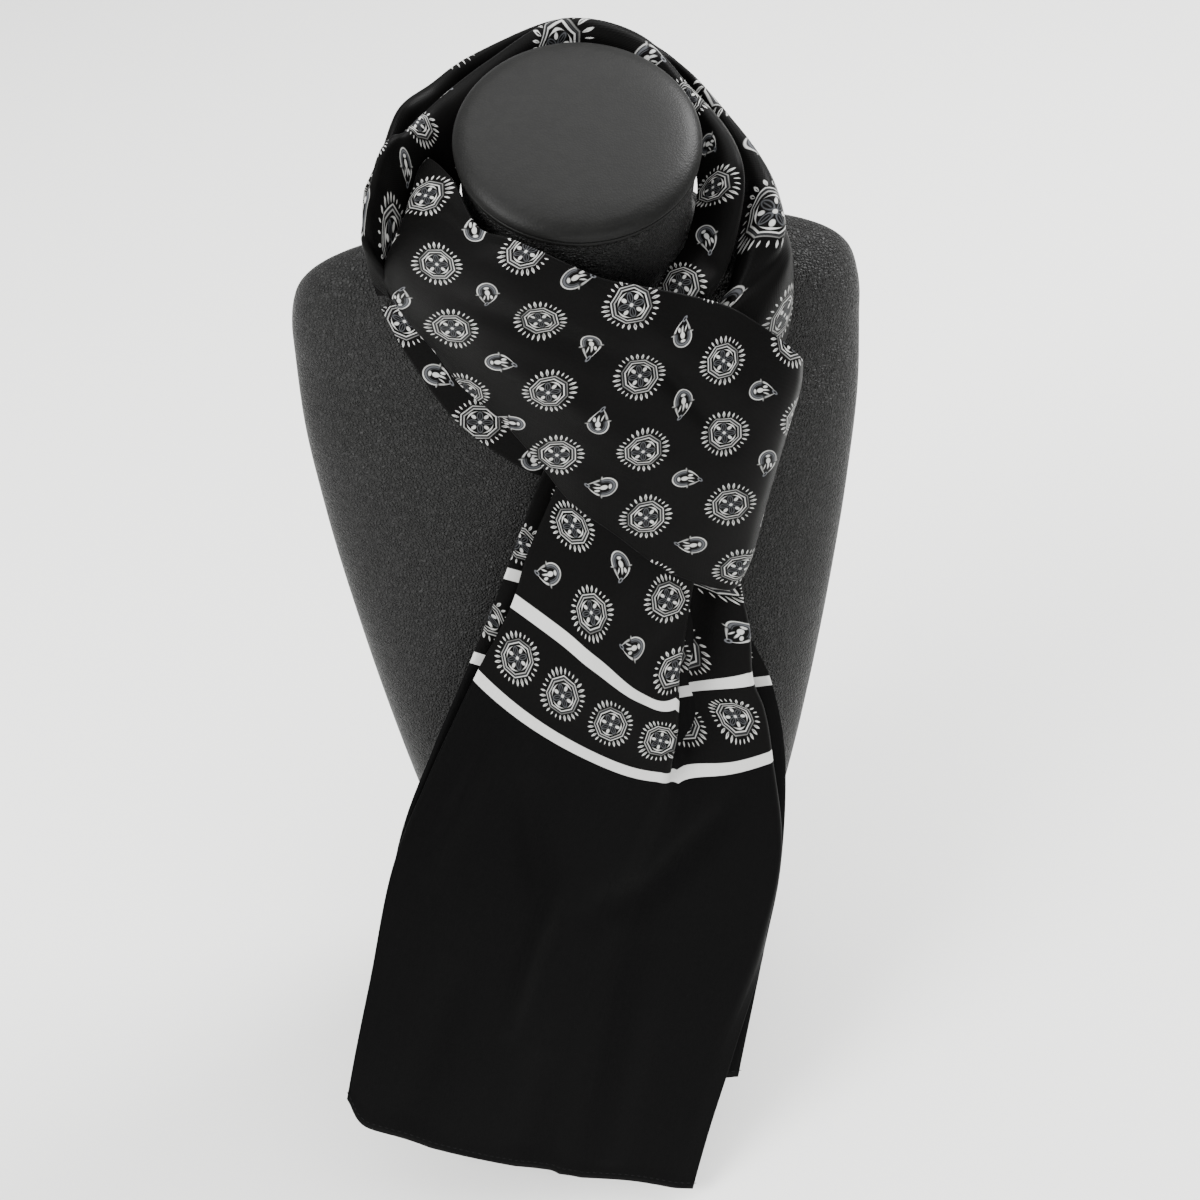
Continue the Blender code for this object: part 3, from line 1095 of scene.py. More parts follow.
FRONT_TAIL = (
    TailRow((-1, 129, 352), (34, 119, 331), (55, 126, 324),
            2, 180, 36, 180, 10, 4.0, 2.70, 6.2, 7.0, 0.0, 0.8, 2.5),
    TailRow((-11, 124, 336), (36, 106, 302), (54, 114, 295),
            3, 180, 38, 180, 10, 2.7, 2.78, 6.2, 6.95, 0.0, 0.8, 5.0),
    TailRow((-19, 121, 318), (33, 98, 277), (55, 106, 276),
            6, 180, 38, 180, 10, 1.62, 2.88, 6.2, 6.80, 0.05, 0.8, 7.5),
    TailRow((-29, 114, 298), (28, 88, 251), (58, 98, 258),
            5, 180, 20, 180, 12, 0.62, 3.50, 5.15, 6.58, 0.14, 0.8, 8.5, 0.2),
    TailRow((-36, 108, 279), (27, 82, 236), (59, 90, 237),
            5, 180, 12, 180, 14, 0.0, 3.68, 4.62, 6.25, 0.27, 0.82, 7.5, 0.46),
    TailRow((-45, 102, 263), (25, 76, 217), (64, 84, 221),
            4, 150, 5, 180, 16, -0.75, 3.73, 4.13, 5.95, 0.22, 0.6, 4.0),
    TailRow((-54, 97, 248), (18, 70, 197), (67, 75, 201),
            3, 32, 2, 178, 15, -1.5, 3.75, 4.05, 6.05, 0.20, 0.45, 0.5, 0.0, 0.27),
    TailRow((-78, 78, 207), (0, 55, 163), (70, 53, 157),
            3, 14, 5, 160, 6, -3.5, 3.80, 4.10, 6.35, 0.1, 0.4, 0.0),
    TailRow((-98, 56, 172), (-14, 37, 128), (58, 31, 114),
            3, 14, 5, 60, 3, -5.5, 3.85, 4.15, 6.60, 0.0, 0.5, 0.0),
    TailRow((-113, 31, 127), (-26, 16, 92), (39, 8, 74),
            3, 10, 5, 14, 5, -7.5, 3.85, 4.15, 6.60, 0.0, 0.5, 0.0),
    TailRow((-124, 12, 95), (-37, -7, 53), (24, -15, 38),
            3, 8, 5, 8, 5, -9.1, 3.85, 4.15, 6.60, 0.0, 0.5, 0.0),
    TailRow((-134.2, -5.4, 61.9), (-43.5, -23.8, 25), (14, -32, 11),
            3, 8, 5, 6, 5, -10.1, 3.85, 4.15, 6.60, 0.0, 0.5, 0.0),
)


@dataclass
class FrontTail(Stretch):
    """The front tail with its deep pleat and its right edge turned under."""

    bend_length: float = 5.4
    bend_steps: int = 14
    left_steps: int = 56
    tuck_steps: int = 8
    right_steps: int = 24
    under_steps: int = 8
    corner_lift: float = 0.030
    corner_columns: float = 3.0
    corner_power: float = 1.5
    hem_wave: float = 0.0035
    hem_waves: float = 3.0
    calm_columns: float = 20.0
    hem_power: float = 10.0
    close_power: float = 1.5
    ease_width: float = 19.0
    facing_column: int = 10

    def bend(self, start: np.ndarray, ahead: np.ndarray, side: np.ndarray,
             angle: float) -> tuple[list[np.ndarray], np.ndarray]:
        """Go round a bend of fixed length.

        Args:
            start: Where it starts.
            ahead: Way before it.
            side: Way it turns to.
            angle: Degrees turned.

        Returns:
            Its points, and the way after it.
        """
        last = radians(angle)
        radius = self.bend_length / last
        turned = np.linspace(0.0, last, self.bend_steps + 1)[1:]
        points = [start + (ahead * sin(t) + side * (1 - cos(t))) * radius for t in turned]
        return points, ahead * cos(last) + side * sin(last)

    def section(self, row: TailRow) -> np.ndarray:
        """Return one section: left panel, pleat, right panel and turned-under edge.

        Args:
            row: The section's sizes.

        Returns:
            Points with their print positions, from the left edge.
        """
        left, lip, right = (np.array(p, float) for p in (row.left, row.lip, row.right))
        ahead, swell = unit(lip - left), PLATE_OUT * row.bow
        panel = [left + (lip - left) * t + swell * sin(pi * t) for t in np.linspace(0, 1, self.left_steps)]
        fold = radians(row.fold)
        inside, way = self.bend(lip, ahead, -PLATE_OUT, row.fold)
        inside += [inside[-1] + way * row.tuck * t for t in np.linspace(0, 1, self.tuck_steps + 1)[1:]]
        back, _ = self.bend(inside[-1], way, ahead * sin(fold) + PLATE_OUT * cos(fold), row.fold)
        inside += back
        start = inside[-1]
        shares = np.linspace(0, 1, self.right_steps + 1)[1:]
        open_at = row.tuck / (row.tuck + np.linalg.norm(right - lip))
        dips = [self.dip(t, open_at) * row.recess for t in shares]
        wing = [start + (right - start) * t - PLATE_OUT * dip for t, dip in zip(shares, dips)]
        edge, way = self.bend(right, unit(right - start), -PLATE_OUT, row.turn)
        edge += [edge[-1] + way * row.under * t for t in np.linspace(0, 1, self.under_steps + 1)[1:]]
        span, wing_way = np.linalg.norm(right - start), unit(right - start)
        places = [min(1.0, float((point - start) @ wing_way) / span) for point in edge]
        edge = [point - PLATE_OUT * self.dip(t, open_at) * row.recess for point, t in zip(edge, places)]
        spans = ((panel, 0.0, row.lip_print), (inside, row.lip_print, row.rise_print),
                 (wing, row.rise_print, row.end_print),
                 (edge, row.end_print, row.end_print + (self.bend_length + row.under) / REPEAT))
        prints = []
        last = np.array(left)
        for points, low, high in spans:
            steps = np.linalg.norm(np.diff(np.array([last, *points]), axis=0), axis=1)
            prints += list(low + (high - low) * np.cumsum(steps) / steps.sum())
            last = points[-1]
        line = np.array(panel + inside + wing + edge)
        along = np.full(len(line), row.along)
        power = log(0.5) / log(row.sag_at)
        along[:len(panel)] += row.sag * np.sin(pi * np.linspace(0, 1, len(panel)) ** power)
        far = far_along(line)
        folded = len(panel) + len(inside)
        along -= row.lip_ease * np.exp(-((far - far[folded]) / self.ease_width) ** 2)
        along[len(panel):folded] += row.drop * np.linspace(0, 1, len(inside))
        along[folded:folded + len(wing)] += row.drop * (1.0 - shares)
        return np.column_stack((line, prints, along))

    def dip(self, share: float, open_at: float) -> float:
        """Return how deep the right panel lies, 1 just past the pleat's lip and 0 at its ends.

        Args:
            share: Place across the right panel, 0 inside the pleat and 1 at the right edge.
            open_at: Share at which the panel comes out of the pleat.

        Returns:
            The depth as a share.
        """
        if share < open_at:
            return sin(pi / 2 * share / open_at) ** 2
        return cos(pi / 2 * (share - open_at) / (1.0 - open_at)) ** self.close_power

    def grid(self) -> np.ndarray:
        """Return the middle surface; its sections need no evening out."""
        smooth = spline(np.array([self.section(row) for row in FRONT_TAIL]), self.steps)
        return self.relief(self.wave_hem(smooth))

    def wave_hem(self, grid: np.ndarray) -> np.ndarray:
        """Lift the hem's left corner and let the hem wave a little.

        Args:
            grid: Rows of x, y, z, print across, print along.

        Returns:
            The grid with its rows drawn up near the hem.
        """
        rows, cols = grid.shape[:2]
        column = np.arange(cols)
        lift = self.corner_lift * np.exp(-(column / self.corner_columns) ** self.corner_power)
        waves = np.sin(column * (2 * pi * self.hem_waves / cols))
        lift += self.hem_wave * waves * np.clip(column / self.calm_columns, 0, 1)
        share = np.linspace(0, 1, rows)
        waved = grid.copy()
        for k in column:
            wanted = share - lift[k] * share ** self.hem_power
            for axis in range(3):
                waved[:, k, axis] = np.interp(wanted, share, grid[:, k, axis])
        return waved

    def facing(self, grid: np.ndarray) -> np.ndarray:
        """Return unit normals that face forwards on the left panel.

        Args:
            grid: Rows of x, y, z, print across, print along.

        Returns:
            One normal for each point.
        """
        out = grid_normals(grid[..., :3])
        return out if (out[:, self.facing_column] @ PLATE_OUT).sum() > 0 else -out


class BackTailRow(NamedTuple):
    """A section of the back tail."""

    left: Triple
    middle: Triple
    right: Triple
    along: float


BACK_TAIL = (
    BackTailRow((-5, 144.5, 345), (22, 142, 337), (56, 139.5, 327), 4.0),
    BackTailRow((-21, 134.5, 320), (15, 130, 305), (54, 131.5, 301), 2.0),
    BackTailRow((-38, 118, 285), (8, 110, 270), (57, 110, 260), 0.0),
    BackTailRow((-55, 104, 251), (4, 93, 228), (70, 96, 228), -1.5),
    BackTailRow((-76, 86, 213), (-2, 73, 186), (76, 80, 191), -3.5),
    BackTailRow((-93, 67, 181), (-10, 55, 150), (73, 56, 144), -5.5),
    BackTailRow((-106, 44, 141), (-17, 34, 114), (64, 35, 105), -7.5),
    BackTailRow((-124, 9, 82), (-32, 0, 56), (49, 0, 54), -10.1),
)


@dataclass
class BackTail(Stretch):
    """The back tail: the scarf's other end, lying behind the front one."""

    edge_print: float = 7.0

    def sections(self) -> list[np.ndarray]:
        """Return the control points, the print counted from the right edge.

        Returns:
            One array of points for each row.
        """
        out = []
        for row in BACK_TAIL:
            left, mid, right = (np.array(p, float) for p in (row.left, row.middle, row.right))
            line = np.array((left, (left + mid) / 2 + PLATE_OUT, mid, (mid + right) / 2, right))
            across = self.edge_print - far_from_end(line) / REPEAT
            out.append(np.column_stack((line, across, np.full(len(line), row.along))))
        return out

    def facing(self, grid: np.ndarray) -> np.ndarray:
        """Return unit normals that face forwards."""
        out = grid_normals(grid[..., :3])
        return out if (out @ PLATE_OUT).sum() > 0 else -out


class LeafRow(NamedTuple):
    """A section of the loop, and the print positions of its three points."""

    top: Triple
    middle: Triple
    bottom: Triple
    top_print: Pair
    middle_print: Pair
    bottom_print: Pair


class Station(NamedTuple):
    """Shares of a loop row's three points and of its swell."""

    top: float
    middle: float
    bottom: float
    swell: float


LOOP_STATIONS = (
    Station(0.8, 0.2, 0.0, 0.4),
    Station(0.4, 0.6, 0.0, 0.9),
    Station(0.0, 0.7, 0.3, 0.9),
    Station(0.0, 0.25, 0.75, 0.4),
)
LOOP_SWELL = 4.0
EDGE_CURL = 1.8

# Print positions are given from one medallion of the cross piece: along, across
LOOP_TOP_LEAF = (
    LeafRow((-55.5, 174, 438), (-60.2, 168, 421), (-68.1, 162.9, 415),
            (-3.95, -1.75), (-3.45, -0.8), (-3.0, 0.1)),
    LeafRow((-52.5, 172.5, 441.5), (-61.8, 164, 427), (-73.2, 159, 403),
            (-3.6, -1.76), (-3.1, -0.5), (-2.5, 0.7)),
    LeafRow((-45, 153, 444.5), (-60, 152, 422), (-71, 158, 393), (-2.83, -1.4), (-2.55, 0.05), (-2.07, 1.1)),
    LeafRow((-38, 131, 440), (-53, 138, 413), (-66, 154, 385), (-2.0, -1.05), (-1.68, 0.55), (-1.52, 1.45)),
    LeafRow((-28, 121, 441), (-43, 130, 409), (-58, 149, 375), (-1.42, -1.05), (-1.04, 0.58), (-0.88, 1.8)),
    LeafRow((-15, 115, 437), (-31, 122, 404), (-49, 142, 363), (-0.65, -1.1), (-0.28, 0.6), (-0.15, 2.0)),
    LeafRow((2, 114, 427), (-15, 115, 394), (-35, 132, 353), (0.32, -1.12), (0.74, 0.68), (0.85, 2.1)),
    LeafRow((16, 114, 422), (0, 108, 384), (-21, 120, 339), (0.96, -1.3), (1.74, 0.78), (2.0, 2.4)),
    LeafRow((32, 118, 414), (14, 105, 374), (-10, 110, 327), (1.65, -1.5), (2.6, 0.72), (2.93, 2.6)),
    LeafRow((48, 117, 408), (31, 102, 362), (6, 103, 315), (2.55, -1.75), (3.65, 0.67), (3.92, 2.62)),
    LeafRow((62, 117, 397), (48, 102, 350), (24, 97, 300), (3.48, -1.85), (4.6, 0.52), (5.05, 2.7)),
    LeafRow((72.5, 118, 386), (61, 107, 343), (44, 96, 288), (4.1, -1.88), (5.1, 0.25), (5.98, 2.6)),
    LeafRow((77, 121, 378.5), (66, 114, 336), (54, 98, 285), (4.4, -1.88), (5.4, 0.15), (6.35, 2.45)),
    LeafRow((79.5, 132, 367), (69, 126, 332), (59, 107, 292), (4.85, -1.92), (5.85, 0.05), (6.75, 2.15)),
    LeafRow((77, 145, 357), (66, 137, 330), (61, 119, 302), (5.35, -1.97), (6.3, -0.05), (7.15, 1.7)),
)
CROSS_PRINT = np.array((3.5, 14.62))


@dataclass
class CrossPiece(Stretch):
    """The loop's leaf that crosses the front."""

    def sections(self) -> list[np.ndarray]:
        """Return the control points with both long edges curled in.

        Returns:
            One array of points for each row.
        """
        out = []
        for row in LOOP_TOP_LEAF:
            marks = (row.top_print, row.middle_print, row.bottom_print)
            top, mid, bottom = (np.array((*p, CROSS_PRINT[0] + m[1], CROSS_PRINT[1] + m[0]))
                                for p, m in zip((row.top, row.middle, row.bottom), marks))
            inward = np.zeros(5)
            inward[:3] = unit(LOOP_HEART - mid[:3]) * EDGE_CURL
            swell = np.array((*FRONT, 0.0, 0.0)) * LOOP_SWELL
            between = [top * s.top + mid * s.middle + bottom * s.bottom + swell * s.swell
                       for s in LOOP_STATIONS]
            out.append(np.array([top + inward, *between, bottom + inward]))
        return out


class UnderRow(NamedTuple):
    """A section of the loop's under leaf."""

    top: Triple
    middle: Triple
    bottom: Triple


LOOP_UNDER_LEAF = (
    UnderRow((-63, 181, 395), (-71, 182, 395), (-79.5, 182, 393)),
    UnderRow((-57, 169.65, 385.15), (-66, 170.65, 383.15), (-76, 171.65, 380.65)),
    UnderRow((-52, 159.65, 384.15), (-62, 163.65, 382.15), (-74, 166.65, 378.15)),
    UnderRow((-38, 152.65, 379.15), (-52, 157.15, 374.15), (-67.5, 159.65, 365.15)),
    UnderRow((-18, 149.65, 365.15), (-36, 151.65, 355.15), (-54, 151.15, 342.15)),
    UnderRow((3, 147.65, 356.15), (-16, 146.65, 343.15), (-36, 143.65, 325.65)),
    UnderRow((22, 146.65, 348.15), (3, 144.65, 333.15), (-17, 139.15, 315.15)),
    UnderRow((40, 147.65, 349.15), (26, 144.65, 332.15), (8, 138.65, 314.15)),
    UnderRow((57, 148.65, 351.15), (48, 144.65, 333.15), (38, 138.65, 315.15)),
)


@dataclass
class UnderLeaf(Stretch):
    """The loop's second leaf, which shows below the cross piece at the left."""

    edge_print: float = 6.75
    start_print: float = 8.65

    def sections(self) -> list[np.ndarray]:
        """Return the control points, the print counted from the lower edge.

        Returns:
            One array of points for each row.
        """
        out, along, last = [], self.start_print, None
        for row in LOOP_UNDER_LEAF:
            line = np.array((row.top, row.middle, row.bottom), float)
            if last is not None:
                along += float(np.linalg.norm(line[2] - last)) / REPEAT
            last = line[2]
            across = self.edge_print - far_from_end(line) / REPEAT
            out.append(np.column_stack((line, across, np.full(3, along))))
        return out


class BandRow(NamedTuple):
    """A section of a neck band: angle, radius and depth of four stations, print at both edges."""

    angle: float
    inner: Pair
    valley: Pair
    crest: Pair
    outer: Pair
    inner_print: Pair
    outer_print: Pair


INNER_BAND = (
    BandRow(-60, (45, 46), (51, 43), (57.5, 46), (55, 60), (1.15, 12.1), (2.35, 12.1)),
    BandRow(-47, (43, 36), (52, 33), (59, 35), (56, 52), (1.15, 12.75), (2.65, 12.75)),
    BandRow(-34, (43.5, 32), (52, 30), (59, 34), (56, 52), (1.15, 13.4), (2.75, 13.4)),
    BandRow(-22, (43, 26), (52, 20), (58.5, 20), (56, 45), (1.15, 14.1), (3.05, 14.1)),
    BandRow(-10, (42.8, 22), (51, 11), (57, 10), (55.5, 40), (1.15, 14.9), (3.25, 14.9)),
    BandRow(10, (42.7, 24), (50, 11), (55.5, 15), (55, 40), (1.05, 15.8), (3.05, 15.8)),
    BandRow(35, (42.7, 24), (49, 11), (54.5, 17), (55, 40), (0.9, 16.85), (2.9, 16.85)),
    BandRow(60, (42.7, 20), (49, 7), (54.5, 6), (55, 40), (0.9, 17.85), (3.1, 17.85)),
    BandRow(90, (42.7, 20), (49, 4), (54.5, 2), (55, 40), (0.95, 18.5), (3.25, 18.5)),
    BandRow(120, (42.7, 22), (49, 10), (54.5, 12), (55, 40), (1.2, 19.7), (3.3, 19.7)),
    BandRow(148, (42.7, 26), (50, 15), (56, 12), (56, 40), (1.5, 20.9), (3.7, 20.9)),
    BandRow(163, (42.7, 30), (51, 22), (59, 9), (59.5, 42), (1.5, 21.8), (3.9, 21.8)),
    BandRow(172, (43, 36), (54, 30), (63, 4), (65.5, 44), (1.5, 22.45), (4.4, 22.45)),
    BandRow(178, (43.5, 39), (56, 36), (66.5, 4), (69.5, 46), (1.5, 22.9), (4.6, 22.9)),
    BandRow(184, (46.5, 43), (60, 42), (70, 9), (74, 50), (1.5, 23.35), (4.6, 23.35)),
    BandRow(187, (48, 46), (63.5, 50), (74.5, 18), (77.5, 54), (1.5, 23.6), (4.5, 23.6)),
    BandRow(190, (49.5, 48), (66, 57), (77, 33), (77.5, 56), (1.5, 23.85), (4.1, 23.85)),
    BandRow(194, (51, 50), (65, 60), (72, 50), (73, 60), (1.5, 24.15), (3.5, 24.15)),
)
OUTER_BAND = (
    BandRow(-46, (63, 52), (68, 47), (76, 52), (81, 82), (1.5, 13.45), (3.3, 12.35)),
    BandRow(-34, (62, 44), (68, 39), (77, 46), (84, 80), (1.3, 13.95), (3.2, 13.0)),
    BandRow(-20, (60, 37), (66, 30), (76, 34), (84, 74), (1.1, 14.5), (3.0, 13.8)),
    BandRow(-6, (58.8, 37), (63.5, 26), (70, 26), (79, 66), (0.9, 15.05), (2.8, 14.6)),
    BandRow(8, (57.6, 38), (62, 27), (67, 27), (75, 62), (0.8, 15.6), (2.7, 15.35)),
    BandRow(25, (57.5, 37), (61, 28), (65, 28), (71, 61), (0.8, 16.25), (2.7, 16.2)),
    BandRow(45, (57.5, 32), (61.5, 24), (64.5, 23), (69, 60), (0.8, 17.1), (2.7, 17.1)),
    BandRow(65, (57.9, 21), (62, 15), (64.5, 16), (69, 59), (0.8, 18), (2.8, 18)),
    BandRow(90, (58.4, 18), (62, 12), (64.5, 13), (69, 59), (0.8, 19.1), (2.8, 19.1)),
    BandRow(121, (59.2, 24), (62, 18), (65.5, 19), (70, 60), (0.8, 20.5), (2.8, 20.5)),
    BandRow(137, (60, 27), (63.5, 20), (67.5, 21), (71.5, 61), (0.8, 21.2), (2.8, 21.2)),
    BandRow(152, (62.5, 23), (65, 16), (69, 17), (74, 62), (0.8, 21.9), (2.8, 21.9)),
    BandRow(163, (66, 28), (68, 23), (71.5, 25), (76, 62), (0.8, 22.4), (2.8, 22.4)),
    BandRow(172, (71, 34), (73, 29), (76, 31), (79, 62), (0.8, 22.85), (2.8, 22.85)),
)


@dataclass
class NeckBand(Stretch):
    """One layer round the neck."""

    table: tuple[BandRow, ...] = INNER_BAND
    shoulder_swell: float = 1.0
    shoulder_depth: float = 0.4

    def sections(self) -> list[np.ndarray]:
        """Return the control points with their print positions.

        Returns:
            One array of points for each row.
        """
        out = []
        for row in self.table:
            shoulder = ((row.crest[0] + row.outer[0]) / 2 + self.shoulder_swell,
                        row.crest[1] * (1 - self.shoulder_depth) + row.outer[1] * self.shoulder_depth)
            stations = (row.inner, row.valley, row.crest, shoulder, row.outer)
            line = np.array([neck_point(row.angle, *station) for station in stations])
            far = far_along(line)
            share = (far / far[-1])[:, None]
            marks = np.array(row.inner_print) * (1 - share) + np.array(row.outer_print) * share
            out.append(np.column_stack((line, marks)))
        return out


@dataclass
class HemStitches:
    """Machine stitches along a tail's hem, laid by a node tree."""

    name: str = "hem_stitches"
    inset: float = 3.2
    gap: float = 3.0
    length: float = 1.9
    radius: float = 0.2
    lift: float = 0.75
    barrel_steps: int = 2

    def path(self, grid: np.ndarray, facing: np.ndarray) -> np.ndarray:
        """Return the stitch line on the face of the cloth, in metres.

        Args:
            grid: The tail's middle surface.
            facing: Its normals.

        Returns:
            Points of the line.
        """
        points = grid[..., :3]
        line = []
        for c in range(grid.shape[1]):
            run = far_along(points[::-1, c])
            at = [np.interp(self.inset, run, points[::-1, c, i]) for i in range(3)]
            line.append(np.array(at) + facing[-1, c] * self.lift)
        return (np.array(line) - FOOT_CENTRE) * MM

    def tree(self, thread: bpy.types.Material) -> bpy.types.NodeTree:
        """Build the node tree: stitches at even steps along a curve.

        Args:
            thread: The thread's material.

        Returns:
            The tree.
        """
        shape = {"Geometry": "NodeSocketGeometry"}
        takes = shape | dict.fromkeys(("Gap", "Length", "Radius"), "NodeSocketFloat")
        net, entry, leave = start_group(self.name, "GeometryNodeTree", takes, shape)
        points = net.fill(net.node("GeometryNodeCurveToPoints", mode="LENGTH"),
                          Curve=entry["Geometry"], Length=entry["Gap"])
        barrel = net.fill(net.node("GeometryNodeMeshIcoSphere"), Subdivisions=self.barrel_steps, Radius=1.0)
        scale = net.fill(net.node("ShaderNodeCombineXYZ"), X=entry["Radius"], Y=entry["Radius"],
                         Z=entry["Length"] * 0.5)
        shaped = net.fill(net.node("GeometryNodeTransform"), Geometry=Wire(net, barrel.outputs["Mesh"]),
                          Scale=Wire(net, scale.outputs[0]))
        laid = net.fill(net.node("GeometryNodeInstanceOnPoints"), Points=Wire(net, points.outputs["Points"]),
                        Instance=Wire(net, shaped.outputs[0]), Rotation=Wire(net, points.outputs["Rotation"]))
        real = net.fill(net.node("GeometryNodeRealizeInstances"), Geometry=Wire(net, laid.outputs[0]))
        dyed = net.fill(net.node("GeometryNodeSetMaterial"), Geometry=Wire(net, real.outputs[0]),
                        Material=thread)
        net.fill(leave, Geometry=Wire(net, dyed.outputs[0]))
        return net.tree

    def build(self, line: np.ndarray, thread: bpy.types.Material) -> bpy.types.Object:
        """Make the stitches as one plain mesh.

        Args:
            line: Points of the stitch line in metres.
            thread: The thread's material.

        Returns:
            The piece.
        """
        curve = bpy.data.curves.new(self.name + "_line", "CURVE")
        curve.dimensions = "3D"
        run = curve.splines.new("POLY")
        run.points.add(len(line) - 1)
        for point, at in zip(run.points, line):
            point.co = (*at, 1.0)
        guide = add_object(curve.name, curve)
        tree = self.tree(thread)
        modifier = guide.modifiers.new("stitches", "NODES")
        modifier.node_group = tree
        sizes = {"Gap": self.gap, "Length": self.length, "Radius": self.radius}
        for socket in tree.interface.items_tree:
            if socket.in_out == "INPUT" and socket.name in sizes:
                modifier[socket.identifier] = sizes[socket.name] * MM
        evaluated = guide.evaluated_get(bpy.context.evaluated_depsgraph_get())
        mesh = bpy.data.meshes.new_from_object(evaluated)
        bpy.data.objects.remove(guide)
        mesh.shade_smooth()
        piece = add_object(self.name, mesh)
        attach(piece, "root")
        return piece


# The bust


class Ring(NamedTuple):
    """A ring of the bust body."""

    height: float
    depth: float
    half_width: float
    half_depth: float
    power: float
    tilt: float
    front_swell: float


BUST_RINGS = (
    Ring(0.0, 72.0, 43.5, 69.0, 3.2, 0.0, 0.0),
    Ring(5.0, 73.5, 47.5, 72.0, 3.2, 0.0, 0.0),
    Ring(60.0, 92.0, 61.0, 65.0, 3.0, 0.0, 0.0),
    Ring(120.0, 112.0, 76.5, 58.0, 3.0, 0.0, 0.0),
    Ring(180.0, 133.0, 92.0, 52.0, 3.0, 3.0, 0.0),
    Ring(240.0, 154.0, 104.0, 46.0, 3.0, 8.0, 0.0),
    Ring(290.0, 171.0, 111.5, 40.5, 3.0, 12.0, 0.0),
    Ring(330.0, 182.0, 114.5, 38.0, 2.8, 16.0, 4.0),
    Ring(360.0, 188.5, 113.5, 32.5, 2.6, 18.5, 9.0),
    Ring(375.0, 188.0, 110.0, 27.0, 2.4, 18.5, 14.0),
    Ring(384.0, 186.5, 102.0, 23.5, 2.2, 18.5, 16.0),
    Ring(389.0, 185.0, 82.0, 23.0, 2.0, 18.5, 13.0),
    Ring(393.0, 184.0, 60.0, 34.0, 2.0, 18.5, 6.0),
    Ring(397.0, 178.7, 50.0, 45.0, 2.0, 18.5, 1.0),
    Ring(405.6, 175.9, 45.5, 44.5, 2.0, 18.5, 0.0),
    Ring(415.0, 172.7, 42.0, 42.0, 2.0, 18.5, 0.0),
    Ring(428.3, 168.2, NECK_RADIUS, NECK_RADIUS, 2.0, 18.5, 0.0),
    Ring(447.7, 161.73, NECK_RADIUS, NECK_RADIUS, 2.0, 18.5, 0.0),
)

# Radius and depth below the plane of the rim; the dip is the welt's seam
CAP_PROFILE = ((36.0, 5.2), (40.6, 5.2), (41.7, 4.9), (42.45, 4.1), (42.6, 3.2), (42.35, 2.7), (41.95, 2.45),
               (42.4, 2.15), (42.75, 1.5), (42.5, 0.8), (41.6, -0.35), (39.8, -1.6), (36.5, -2.85),
               (30.0, -3.9), (20.0, -4.5), (10.0, -4.75), (2.0, -4.8))


@dataclass
class Bust:
    """The limbless display bust: body and padded neck cap."""

    sides: int = 192
    least_rings: int = 4
    ring_gap: float = 2.2
    swell_width: float = 46.0
    cap_sides: int = 192
    cap_steps: int = 4

    def outline(self, ring: np.ndarray) -> np.ndarray:
        """Return the points of one ring.

        Args:
            ring: The values of a Ring.

        Returns:
            The points in millimetres.
        """
        height, depth, half_width, half_depth, power, tilt, swell = ring
        back = np.array((0.0, cos(radians(tilt)), sin(radians(tilt))))
        turn = 2 * pi * (np.arange(self.sides) + 0.5) / self.sides
        c, s = np.cos(turn), np.sin(turn)
        across = half_width * np.sign(c) * np.abs(c) ** (2 / power)
        deep = half_depth * np.sign(s) * np.abs(s) ** (2 / power)
        deep -= np.where(s < 0, swell * np.exp(-(across / self.swell_width) ** 2) * np.abs(s), 0.0)
        return np.array((0.0, depth, height)) + across[:, None] * RIGHT + deep[:, None] * back

    def stack(self, rings: list[np.ndarray], name: str) -> bpy.types.Object:
        """Join rings into one closed object.

        Args:
            rings: Point rings of equal length, end to end.
            name: Object name.

        Returns:
            The object.
        """
        count = len(rings[0])
        faces = []
        for r in range(len(rings) - 1):
            for k in range(count):
                n = (k + 1) % count
                faces.append((r * count + k, r * count + n, (r + 1) * count + n, (r + 1) * count + k))
        last = (len(rings) - 1) * count
        faces.append(tuple(range(count)))
        faces.append(tuple(last + k for k in range(count)))
        return make_object(name, np.concatenate(rings), faces)

    def build_body(self, leather: bpy.types.Material) -> bpy.types.Object:
        """Make the body smooth between its rings and dress it.

        Args:
            leather: Its covering.

        Returns:
            The piece.
        """
        table = np.array(BUST_RINGS)
        at = far_along(table[:, :4])
        levels = []
        for low, high in zip(at, at[1:]):
            count = max(self.least_rings, int((high - low) / self.ring_gap))
            levels.append(np.linspace(low, high, count, endpoint=False))
        levels = np.concatenate([*levels, at[-1:]])
        rings = [self.outline(ring) for ring in steady(at, table, levels)]
        piece = self.stack(rings, "bust_cover")
        piece.data.materials.append(leather)
        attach(piece, "root")
        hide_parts("bust_body")
        return piece

    def build_cap(self, leather: bpy.types.Material) -> bpy.types.Object:
        """Make the padded cap with its welt and dress it.

        Args:
            leather: Its covering.

        Returns:
            The piece.
        """
        profile = spline(np.array(CAP_PROFILE), self.cap_steps)
        turn = 2 * pi * np.arange(self.cap_sides) / self.cap_sides
        rings = [NECK_TOP + radius * (np.cos(turn)[:, None] * RIGHT + np.sin(turn)[:, None] * BACK_NECK)
                 - depth * UP_NECK for radius, depth in profile]
        piece = self.stack(rings, "neck_cap_cover")
        piece.data.materials.append(leather)
        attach(piece, "root")
        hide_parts("neck_cap")
        return piece


# Studio


